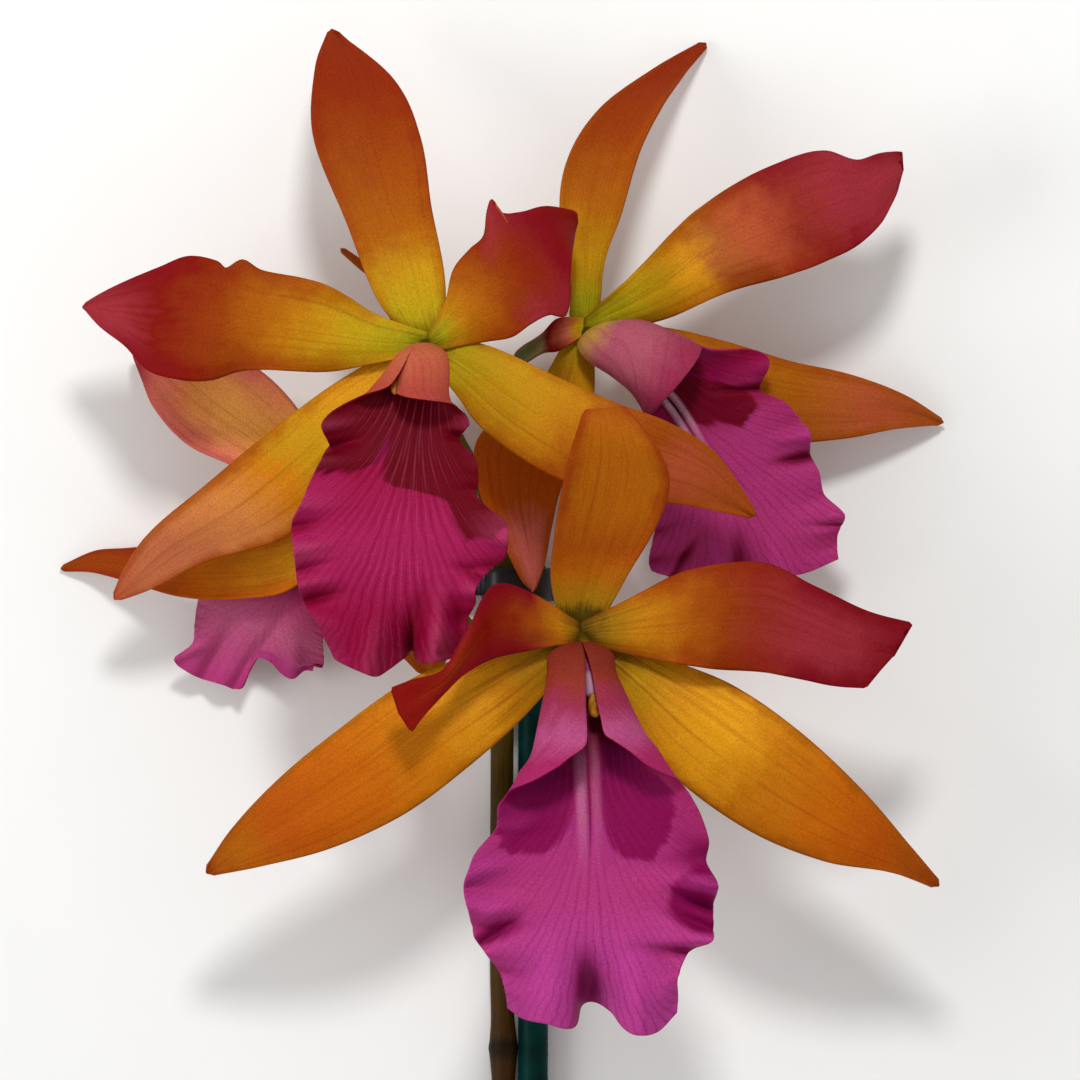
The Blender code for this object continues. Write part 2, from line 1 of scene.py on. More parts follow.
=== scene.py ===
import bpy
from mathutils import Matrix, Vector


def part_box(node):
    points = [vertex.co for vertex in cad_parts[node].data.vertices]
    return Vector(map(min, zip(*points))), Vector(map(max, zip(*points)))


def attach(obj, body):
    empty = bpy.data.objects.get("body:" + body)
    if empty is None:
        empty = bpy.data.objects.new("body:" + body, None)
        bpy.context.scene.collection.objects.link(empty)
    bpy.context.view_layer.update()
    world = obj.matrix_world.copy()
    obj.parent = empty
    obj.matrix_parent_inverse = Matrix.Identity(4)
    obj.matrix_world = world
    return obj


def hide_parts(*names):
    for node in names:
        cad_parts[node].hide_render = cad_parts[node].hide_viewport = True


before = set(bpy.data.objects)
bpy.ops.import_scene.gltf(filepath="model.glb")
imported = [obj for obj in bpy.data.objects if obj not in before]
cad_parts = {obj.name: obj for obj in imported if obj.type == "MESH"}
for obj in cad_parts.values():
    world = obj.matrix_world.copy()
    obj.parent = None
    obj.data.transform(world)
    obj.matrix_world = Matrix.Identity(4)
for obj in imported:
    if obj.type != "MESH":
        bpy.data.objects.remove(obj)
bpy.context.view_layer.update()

import math
from functools import lru_cache, partial

import bmesh
import bpy
from mathutils import Vector, noise

# A cut spray of a cattleya orchid, lying on its back: four blooms on one stem, clipped to a stake.
# Outlines are in pixels of the photo seen from above, heights in mm above the table.
mm = 0.001
span = {"real": 131.0 * mm, "pixels": 731.0}  # bloom C, between the tips of its lateral sepals
photo = {"size": 1080, "middle": 540.0, "pixel": span["real"] / span["pixels"], "stakeX": 533, "clipY": 585}
stakeLow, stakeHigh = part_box("stake")
clipLow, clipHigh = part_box("stake_clip")
photoShift = Vector((
    (stakeLow.x + stakeHigh.x) / 2 - (photo["stakeX"] - photo["middle"]) * photo["pixel"],
    (clipLow.y + clipHigh.y) / 2 - (photo["middle"] - photo["clipY"]) * photo["pixel"],
    clipLow.z))


def photoPoint(x, y, height):
    right, up = x - photo["middle"], photo["middle"] - y
    return Vector((right * photo["pixel"], up * photo["pixel"], height * mm)) + photoShift


def measured(rows, spots):  # the rows with how far along the spots they are put first, and the whole length
    places = [0.0]
    for before, after in zip(spots, spots[1:]):
        places.append(places[-1] + math.dist(before, after))
    return [(place / places[-1], *row) for place, row in zip(places, rows)], places[-1]


def ease(value):
    value = min(max(value, 0.0), 1.0)
    return value * value * (3 - 2 * value)


def readCurve(rows, at):  # a smooth curve through rows that start with their own place
    last = len(rows) - 1
    if at <= rows[0][0]:
        return list(rows[0][1:])
    if at >= rows[last][0]:
        return list(rows[last][1:])
    index = max(place for place in range(last) if rows[place][0] <= at)
    gap = rows[index + 1][0] - rows[index][0]
    part = (at - rows[index][0]) / gap
    found = []
    for column in range(1, len(rows[0])):
        def slope(place):
            before, after = max(place - 1, 0), min(place + 1, last)
            return (rows[after][column] - rows[before][column]) / (rows[after][0] - rows[before][0])
        start, end = rows[index][column], rows[index + 1][column]
        pull, push = slope(index) * gap, slope(index + 1) * gap
        found.append(start + part * (pull + part * (3 * (end - start) - 2 * pull - push
                                                    + part * (pull + push - 2 * (end - start)))))
    return found


def wayAt(rows, along):  # which way a route in pixels and mm runs
    step = 0.01
    before, after = (readCurve(rows, place)[:3] for place in (max(along - step, 0.0), min(along + step, 1.0)))
    return photoPoint(*after) - photoPoint(*before)


# Colours of the flower's own tissues, in sRGB, from the green centre out to the tips and the lip
colours = {"olive": "4A3A04", "moss": "6E6206", "lime": "9C9410", "lemon": "B49A12", "gold": "BC8C10",
    "sun": "D69218", "amber": "B4740A", "orange": "A65A06", "tawny": "9A4806", "rust": "8E3804",
    "brick": "862806", "bronze": "946A0A", "honey": "C4760C", "marigold": "BC6006", "ember": "AE4E06",
    "sienna": "A85A28", "garnet": "8B2B1C", "crimson": "7C0E04", "wine": "7A0816", "rose": "962A34",
    "salmon": "B4643E", "coral": "AE4E2C", "peach": "C67A3A", "apricot": "E09A4A", "flush": "CC6658",
    "dusk": "560216", "blood": "68021C", "cherry": "7A0424", "plum": "880A44", "magenta": "9C2458",
    "mallow": "9E2A6E", "orchid": "AC3474", "lilac": "B43C8A", "blush": "B25478", "pearl": "C893AC",
    "terracotta": "B65A40", "claret": "A44034", "dustyRose": "A24E60", "wineRose": "922C4A",
    "rosy": "B04468", "roseate": "AA4A78", "velvet": "7E0648", "ruby": "8C0638", "dawn": "E29C18",
    "petunia": "BC6890", "fuchsia": "9C1A50", "sangria": "5C000E", "brickRose": "88301F", "sage": "8A7450",
    "fern": "52602E", "straw": "B0883C", "clay": "7A2A1A"}


def srgb(code):  # a colour's name or its sRGB hex, to linear
    code = colours.get(code, code)
    parts = [int(code[place:place + 2], 16) / 255 for place in (0, 2, 4)]
    return [part / 12.92 if part <= 0.04045 else ((part + 0.055) / 1.055) ** 2.4 for part in parts] + [1.0]


def fillSockets(tree, node, inputs):  # inputs: a socket's number or name, with its value, colour or source
    for name, value in inputs.items():
        if isinstance(value, bpy.types.Node):
            value = next(socket for socket in value.outputs if socket.enabled)
        if isinstance(value, bpy.types.NodeSocket):
            tree.links.new(value, node.inputs[name])
        else:
            node.inputs[name].default_value = srgb(value) if isinstance(value, str) else value


def addNode(tree, kind, inputs={}, stops="", **settings):  # stops: a ramp's places in percent and colours
    node = tree.nodes.new("ShaderNode" + kind)
    for name, value in settings.items():
        setattr(node, name, value)
    fillSockets(tree, node, inputs)
    if stops:
        ramp = node.color_ramp
        pairs = [stop.split() for stop in stops.split(", ")]
        places = [int(place) / 100 for place, colour in pairs]
        ramp.elements[0].position = places[0]
        ramp.elements[-1].position = places[-1]
        for place in places[1:-1]:
            ramp.elements.new(place)
        for element, (place, colour) in zip(ramp.elements, pairs):
            element.color = srgb(colour)
    return node


def newMaterial(name):  # the material, what adds a node to it, and what sets its shader
    material = bpy.data.materials.new(name)
    material.use_nodes = True
    tree = material.node_tree
    return material, partial(addNode, tree), partial(fillSockets, tree, tree.nodes["Principled BSDF"])


def layOver(add, colour, *layers):  # each layer: how much of it shows, and its colour
    for share, other in layers:
        colour = add("Mix", {0: share, 6: colour, 7: other}, data_type="RGBA")
    return colour


# Orchid petal tissue: living and waxy, a little translucent, with a grain of dome-shaped cells.
# It gives the eye a soft satin surface, mottled and faintly streaked from base to tip.
# The real cells are about 0.05 mm across, drawn at 0.3 mm so that they show.
petalTissue = {"roughness": 0.6, "specular": 0.05, "glow": 0.06, "glowDepth": 0.8 * mm, "relief": 0.03 * mm,
               "cell": 0.3 * mm, "cloud": 4.0 * mm, "streaksAcross": 9.0, "streaksAlong": 1.4}


def tissuePatterns(add, cloud):  # clouds of colour and the grain of the cells
    spot = add("TexCoord").outputs["Object"]
    return (add("TexNoise", {"Vector": spot, "Scale": 1 / size, "Detail": detail})
            for size, detail in ((cloud, 3.0), (petalTissue["cell"], 1.5)))


def shiftedPlace(add, along, *patterns):
    # The colours reach further up in some streaks and clouds than in others
    place = add("Math", {0: along, 1: sum(share for pattern, share in patterns) / 2}, operation="SUBTRACT")
    for pattern, share in patterns:
        place = add("Math", {0: pattern, 1: share, 2: place}, operation="MULTIPLY_ADD")
    return place


def tissueGrain(add, colour, cells, least, most):  # lighter and darker cells
    shade = add("MapRange", {"Value": cells, "From Min": 0.3, "From Max": 0.7, "To Min": least,
                             "To Max": most})
    return add("Mix", {0: 1.0, 6: colour, 7: shade}, data_type="RGBA", blend_type="MULTIPLY")


def finishTissue(add, setShader, colour, height):
    setShader({"Base Color": colour, "Roughness": petalTissue["roughness"],
               "Specular IOR Level": petalTissue["specular"], "Subsurface Weight": petalTissue["glow"],
               "Subsurface Scale": petalTissue["glowDepth"],
               "Normal": add("Bump", {"Height": height, "Distance": petalTissue["relief"]})})


def tepalMaterial(name, look, seed):
    # centre: colours up the middle from base to tip. edge: those of the margins. rim: where these begin.
    material, add, setShader = newMaterial(name)
    along, across = (add("Attribute", attribute_name=value).outputs["Fac"] for value in ("along", "across"))
    clouds, cells = tissuePatterns(add, petalTissue["cloud"])
    stretched = add("Mapping", {"Vector": add("CombineXYZ", {0: across, 1: along, 2: seed}), "Scale": (
        petalTissue["streaksAcross"], petalTissue["streaksAlong"], 1.0)})
    streaks = add("TexNoise", {"Vector": stretched, "Scale": 1.0, "Detail": 4.0, "Roughness": 0.65})
    place = shiftedPlace(add, along, (streaks, 0.14), (clouds, 0.12))
    centre, edge = (add("ValToRGB", {0: place}, look[part]) for part in ("centre", "edge"))
    if "rightEdge" in look:
        isRight = add("MapRange", {"Value": across, "From Min": -0.2, "From Max": 0.2})
        edge = layOver(add, edge, (isRight, add("ValToRGB", {0: place}, look["rightEdge"])))
    outward = add("Math", {0: across}, operation="ABSOLUTE")
    outward = add("Math", {0: clouds, 1: 0.5, 2: outward}, operation="MULTIPLY_ADD")
    nearEdge = add("MapRange", {"Value": outward, "From Min": look["rim"] + 0.25, "From Max": 1.3},
                   interpolation_type="SMOOTHSTEP")
    vein = add("MapRange", {"Value": streaks, "From Min": 0.5, "From Max": 0.3, "To Max": 0.35})
    colour = layOver(add, centre, (nearEdge, edge), (vein, "crimson"))
    height = add("Math", {0: streaks, 1: 0.8, 2: cells}, operation="MULTIPLY_ADD")
    finishTissue(add, setShader, tissueGrain(add, colour, cells, 0.84, 1.14), height)
    return material


# The four blooms
# A sepal or petal is a row of stations from its base to its tip: left edge x and y, right edge x and y,
# height, and how much higher the right edge is. cup is how far the middle lies below the edges, and wave
# is how high its edges wave. Its colours stand beside it, or else are those of petalLook and sepalLook.
# A lip is a row of stations along its floor: x, y, height and how high its tube stands. left and right are
# its sides at a place y of the floor: half width, how far it wraps round in degrees, and lift of the margin
# in mm. levelSections are sides that stand straight out to left and right, not square to the floor.
# Dark patches are partly the lip's own colour and partly painted shadow: how dark, and rows of y, left and
# right. keels are a place, width and height across.
# fringe shapes the front edge, and folds are ridges and valleys: from, to, width in pixels and height in mm.
petalLook = {"wave": 0.3, "waves": 2, "rim": 0.3,
    "centre": "0 moss, 6 lime, 14 gold, 30 amber, 42 orange, 54 tawny, 63 brick, 74 crimson, 90 rose",
    "edge": "0 moss, 10 amber, 30 orange, 50 rust, 70 crimson, 85 wine, 100 rose"}
sepalLook = {"wave": 0.3, "waves": 2, "rim": 0.55,
    "centre": "0 moss, 8 lemon, 20 gold, 50 amber, 80 orange, 100 tawny",
    "edge": "0 moss, 15 amber, 60 orange, 100 tawny"}
reverseLook = {"rim": 0,
    "centre": "0 lime, 25 gold, 50 peach, 80 salmon, 100 coral",
    "edge": "0 moss, 30 salmon, 70 coral, 100 rose"}

bloomA = {
    "middle": (428, 343, 36),
    "stalk": [(504, 545, 5), (484, 490, 10), (448, 425, 19), (430, 368, 28), (428, 343, 33)],
    "tepals": {
        "dorsal_sepal": {"cup": 1.6, "rim": 0.6,
            "centre": "0 moss, 10 lemon, 22 gold, 34 orange, 50 tawny, 66 rust, 80 brick",
            "edge": "0 moss, 18 amber, 35 tawny, 70 brick",
            "stations": [(411, 332, 445, 332, 36, 0), (378, 300, 445, 280, 37.5, 0),
             (346, 221, 431, 207, 36.5, 0), (313, 135, 420, 135, 32, 1), (314, 68, 393, 78, 25, 1),
             (327, 28, 334, 27, 17, 0)]},
        "left_petal": {"cup": -1.5, "wave": 1.2, "waves": 3, "rim": 0.3,
            "centre": "0 moss, 7 lime, 17 lemon, 28 gold, 38 amber, 48 orange, 60 rust, 70 brick, "
                      "78 crimson, 90 rose",
            "edge": "0 lime, 12 gold, 30 orange, 50 rust, 70 crimson, 85 wine, 100 rose",
            "stations": [(417, 353, 417, 332, 37.3, 0), (371, 364, 374, 314, 39, 1),
             (330, 371, 342, 293, 40, 1.5), (290, 371, 310, 280, 40.5, 2), (255, 370, 262, 271, 40.3, 2),
             (236, 372, 243, 260, 39.6, 2), (215, 379, 226, 268, 38.8, 1.5), (200, 381, 217, 261, 38, 1),
             (180, 380, 190, 256, 37, 1), (149, 371, 160, 267, 34.5, 0.5), (125, 346, 125, 281, 31, 0),
             (100, 327, 100, 293, 28.5, 0), (83, 309, 81, 304, 27, 0)]},
        "right_petal": {"cup": -1.5, "wave": 0.8, "waves": 2, "rim": 0.2,
            "centre": "0 moss, 10 lime, 22 amber, 35 orange, 50 rust, 62 brick, 80 wine, 100 crimson",
            "edge": "0 moss, 15 amber, 30 tawny, 45 brick, 60 rose, 80 wine, 100 crimson",
            "stations": [(440, 332, 440, 352, 37.3, 0), (446, 300, 464, 345, 38.3, 0),
             (454, 270, 489, 341, 39.8, -0.5), (470, 250, 513, 337, 41.3, -1),
             (484, 236, 532, 324, 42.8, -1), (487, 212, 550, 315, 44, -1), (492, 200, 566, 316, 45, -0.5),
             (500, 213, 570, 300, 45.3, 0), (520, 213, 570, 280, 44.8, 0), (545, 207, 571, 257, 43, 0),
             (580, 212, 574, 234, 37, 0)]},
        "left_sepal": {"cup": -1.8, "rim": 0.6,
            "centre": "0 moss, 6 gold, 20 sun, 40 gold, 50 honey, 62 peach, 78 salmon, 90 salmon, "
                      "100 coral",
            "edge": "30 amber, 55 tawny, 80 tawny, 100 coral",
            "stations": [(427, 361, 409, 345, 35.7, 0), (384, 432, 336, 383, 35.5, 0),
             (334, 500, 262, 438, 34, 0), (278, 540, 203, 487, 31.5, 0), (205, 562, 148, 533, 28, 0),
             (150, 589, 122, 570, 24, 0), (116, 601, 110, 597, 20, 0)]},
        "right_sepal": {"cup": -1.5, "rim": 0.6,
            "centre": "0 moss, 8 lemon, 22 gold, 42 amber, 52 tawny, 66 tawny, 75 coral, 100 tawny",
            "edge": "0 moss, 20 amber, 50 tawny",
            "stations": [(448, 346, 431, 361, 35.7, 0), (491, 347, 456, 394, 38, 0),
             (560, 379, 484, 430, 41, 0), (617, 404, 545, 472, 42.5, 0), (667, 422, 612, 497, 43, 0),
             (713, 451, 678, 504, 41, 0), (743, 490, 724, 513, 38, 0), (757, 513, 752, 518, 36, 0)]},
    },
    "lip": {"face": 1, "mouth": 0.17, "seed": 3.1, "sharedTube": False, "levelSections": True,
        # Partly the throat's own dark crimson, partly painted shadow of the tube and the lobes over the blade
        "darkAndShadowPatches": [
            (1, [(386, 378, 402), (394, 360, 402), (403, 336, 401), (415, 324, 399), (430, 316, 395),
                (441, 318, 390), (446, 320, 387), (455, 314, 382), (465, 308, 374), (472, 306, 356)]),
            (1, [(386, 397, 480), (396, 392, 484), (410, 391, 488), (430, 389, 490), (450, 387, 494),
                (470, 384, 502), (484, 386, 508), (493, 424, 514), (500, 446, 518), (510, 452, 520),
                (525, 459, 508), (538, 468, 492)])],
        "keels": [],
        "stations": [(424, 343, 40, 4.8), (424, 365, 41.8, 7.5), (423, 385, 44.5, 9.2),
            (422, 397, 46.3, 10), (420, 410, 47.8, 10), (416, 432, 49, 9.5), (411, 470, 50.5, 8.5),
            (404, 530, 51, 8), (400, 590, 49.5, 8), (401, 632, 47, 8), (405, 664, 43.5, 8)],
        "left": [(343, 18, 150, 0), (350, 23, 148, 0), (365, 33, 145, 0), (378, 42, 142, 0),
            (387, 49, 138, 0), (391, 52, 128, 0), (395, 56, 105, 0), (399, 64, 75, 0), (405, 76, 58, 0),
            (414, 89, 46, 0.3), (424, 95, 38, 0.6), (431, 93, 33, 0), (440, 87, 29, -0.8),
            (446, 84, 27, -1), (452, 87, 26, 0), (462, 91, 25, 1), (480, 98, 23, -0.5), (504, 105, 19, 1.5),
            (524, 112, 16, -1), (554, 107, 12, 1.5), (594, 99, 9, -0.5), (624, 84, 7, 1), (645, 76, 6, 0),
            (664, 70, 5, 0)],
        "right": [(343, 15, 262, 0), (348, 19, 262, 0), (353, 22, 262, 0), (360, 24, 262, 0),
            (370, 25, 262, 0), (388, 25.5, 262, 0), (393, 26, 255, 0), (397, 27, 225, 0), (400, 28, 190, 0),
            (403, 30, 140, 0), (406, 34, 95, 0), (410, 39, 70, 0), (415, 46, 58, 0.5), (420, 50, 50, 1.2),
            (426, 52, 44, 1.5), (431, 49, 40, 0.5), (436, 45, 36, -1), (443, 47, 33, 0), (457, 62, 30, 0.5),
            (480, 69, 26, 0), (495, 69, 22, -0.5), (506, 79, 19, 0), (521, 100, 17, 1.5),
            (539, 105, 14, 0.5), (558, 103, 12, -1.5), (567, 92, 10, -2), (573, 86, 9, 0),
            (589, 76, 8, 1.5), (603, 76, 8, 0), (617, 69, 7, -1), (639, 63, 6, 1), (657, 50, 5, 0)],
        "fringe": [(-1, -6, 0), (-0.88, -1, 0.5), (-0.63, 7, 1), (-0.41, 12, 0), (-0.21, 4, -1),
            (0, -7, -2), (0.17, -14, -2.5), (0.23, -3, 1), (0.56, -2, 2), (1, -7, 0)],
        "folds": [(295, 570, 345, 560, 5, -1.2), (308, 600, 360, 588, 6, -1.4),
            (290, 530, 335, 518, 6, -0.8), (300, 549, 350, 540, 6, 0.8), (302, 585, 350, 576, 5, 0.8),
            (412, 655, 428, 570, 8, -1.8), (437, 658, 442, 560, 9, 1.3), (462, 640, 455, 560, 7, -0.8),
            (370, 675, 388, 580, 12, 0.8), (508, 540, 465, 528, 8, 0.8), (485, 582, 450, 560, 6, -1.2),
            (328, 448, 375, 436, 5, -1.5), (466, 438, 436, 430, 4, -1.2), (335, 425, 385, 412, 6, 0.7)],
        "column": [(427, 342, 37.5), (419, 354, 42), (409, 365, 45), (401, 374, 47), (398, 379, 48.2)],
        "anther": [(398, 376, 48.4), (395, 395, 50)], "antherWidth": 0.8},
}

bloomB = {
    "middle": (584, 326, 22),
    "stalk": [(504, 545, 5), (530, 480, 8), (562, 405, 11), (580, 350, 16), (584, 326, 19)],
    "tepals": {
        "dorsal_sepal": {"cup": 1.4, "rim": 0.6,
            "centre": "0 moss, 8 lime, 20 gold, 38 orange, 60 rust, 85 brick",
            "edge": "0 moss, 20 amber, 50 tawny, 100 brick",
            "stations": [(570, 315, 600, 315, 22, 0), (571, 262, 605, 262, 24, 0),
             (560, 205, 621, 214, 25, 0), (570, 152, 640, 150, 22, 0), (600, 106, 663, 104, 16, 0),
             (652, 67, 683, 75, 8.5, 0), (704, 36, 709, 42, 0.9, 0)]},
        "left_petal": {"cup": 1, "rim": 0.15,
            "centre": "0 lime, 10 gold, 20 flush, 36 coral, 42 wine, 48 sage, 60 fern",
            "edge": "0 gold, 15 coral, 30 wine, 42 wine, 50 sage, 100 fern",
            "stations": [(572, 336, 572, 318, 23.3, 0), (558, 350, 558, 318, 25.5, 0),
             (543, 352, 543, 333, 24, 0), (529, 360, 526, 343, 18.5, 0), (522, 367, 515, 354, 11, 0),
             (532, 378, 524, 372, 5, 0)]},
        "right_petal": {"cup": -1.6, "wave": 1.4, "waves": 3, "rim": 0.35,
            "centre": "0 moss, 8 lime, 16 lemon, 26 gold, 34 sun, 43 sienna, 54 coral, 68 garnet, 80 rose",
            "edge": "0 moss, 15 gold, 35 orange, 50 rust, 65 wine, 85 rose, 100 wine",
            "rightEdge": "0 moss, 20 amber, 40 tawny, 60 brick, 80 wine, 100 rose",
            "stations": [(596, 316, 597, 333, 23.3, 0), (643, 264, 668, 317, 25, -3.5),
             (690, 215, 735, 289, 28.5, -1), (746, 178, 795, 273, 31, 0), (795, 156, 838, 256, 31, 0),
             (826, 150, 861, 243, 30.4, 0), (857, 159, 881, 224, 29, 0), (882, 152, 891, 206, 27.4, 0),
             (908, 150, 899, 188, 25.5, 0)]},
        "left_sepal": {"cup": -1.4, "rim": 0.3,
            "centre": "0 moss, 6 lemon, 15 gold, 30 honey, 42 orange, 55 ember, 68 ember, 78 flush",
            "edge": "0 lemon, 30 amber, 50 ember, 70 ember, 100 tawny",
            "stations": [(587, 342, 568, 333, 21.7, 0), (594, 392, 536, 388, 21.5, 0),
             (584, 440, 478, 438, 22.5, 0), (562, 486, 480, 492, 21.5, 0), (551, 530, 504, 546, 19, 0),
             (545, 562, 521, 580, 16, 0), (535, 592, 530, 590, 13, 0)]},
        "right_sepal": {"cup": -1.6, "rim": 0.6,
            "centre": "0 moss, 20 amber, 60 orange, 80 coral, 100 tawny",
            "edge": "0 moss, 20 orange, 60 tawny",
            "stations": [(601, 329, 590, 344, 21.7, 0), (666, 327, 650, 388, 19.5, 0),
             (730, 342, 715, 425, 18, 0), (790, 360, 780, 441, 15.5, 0), (850, 373, 845, 438, 11.5, 0),
             (905, 393, 900, 428, 7.5, 0), (947, 419, 945, 424, 2, 0)]},
    },
    "lip": {"face": 1, "mouth": 0.32, "seed": 8.4, "sharedTube": True, "levelSections": False,
        # Painted shadow under the far lobe that folds over the blade
        "darkAndShadowPatches": [
            (1, [(378, 660, 712), (388, 660, 742), (398, 662, 754), (408, 667, 755), (417, 682, 750),
                (426, 706, 742)])],
        "keels": [(-5, 3, 1), (0, 1.3, -0.7), (4.5, 3, 0.9)],
        "stations": [(580, 338, 23.6, 5), (598, 352, 23.8, 8.5), (618, 364, 24, 10.5), (640, 377, 24, 12),
            (661, 391, 23.6, 13), (672, 402, 23.3, 13), (684, 419, 22.8, 12.5), (700, 446, 22, 12),
            (714, 475, 21.4, 12), (727, 508, 20.6, 12), (738, 546, 19.5, 12), (746, 580, 17, 12)],
        "left": [(338, 10, 265, 0), (352, 12, 267, 0), (364, 13, 268, 0), (377, 17, 268, 0),
            (388, 25, 268, 0), (392, 27, 262, 0), (394, 28, 230, 0), (396, 29, 180, 0), (398, 30, 130, 0),
            (401, 31, 88, 0), (405, 37, 64, 0), (412, 48, 50, 0), (419, 56, 44, 0), (446, 66, 33, 0),
            (475, 68, 24, 0), (495, 72, 20, 1), (508, 76, 18, -1), (525, 84, 16, 1), (540, 90, 14, -1),
            (550, 88, 12, 1.5), (558, 76, 11, 0), (565, 70, 10, -1), (572, 70, 9, 1), (580, 68, 8, 0)],
        "right": [(338, 22, 84, 0), (352, 38, 85, 0), (364, 50, 85, 0), (377, 55, 85, 0), (388, 58, 84, 0),
            (392, 60, 80, 0), (396, 66, 74, 0), (401, 80, 64, 0), (405, 92, 58, 0), (409, 100, 53, 0.2),
            (413, 104, 48, 0.4), (417, 104, 44, 0.4), (421, 99, 41, 0), (425, 89, 38, -0.8),
            (429, 82, 36, -1.3), (435, 83, 34, -1.2), (446, 96, 31, 0), (455, 100, 28, 0.5),
            (465, 103, 26, 0), (475, 106, 24, 1), (490, 98, 20, -1), (505, 100, 18, 0.6),
            (522, 98, 16, -0.5), (538, 110, 14, 1), (545, 112, 13, 1.5), (556, 101, 12, -1),
            (570, 97, 10, 0), (580, 96, 9, 0.5)],
        "fringe": [(-1, 0, 0), (-0.5, 4, 1), (-0.2, 2, 0), (0, -12, -2), (0.2, 2, 0), (0.6, 7, 1),
            (1, 1, 0)],
        "folds": [(812, 455, 760, 466, 5, -1.6), (806, 436, 755, 442, 6, 0.8),
            (842, 523, 795, 528, 4, -1.2), (738, 580, 738, 515, 7, -1.2), (714, 580, 711, 515, 7, 1),
            (680, 565, 706, 525, 5, -1.2), (766, 386, 700, 392, 3.5, -1.8), (762, 366, 700, 374, 9, 0.5),
            (780, 575, 765, 520, 9, 0.8)],
        "column": [(584, 329, 22.5), (596, 339, 26), (612, 346, 29), (632, 354, 30.5), (648, 361, 31)],
        "anther": [(648, 359, 31.5), (664, 367, 31.5)], "antherWidth": 1.1},
}

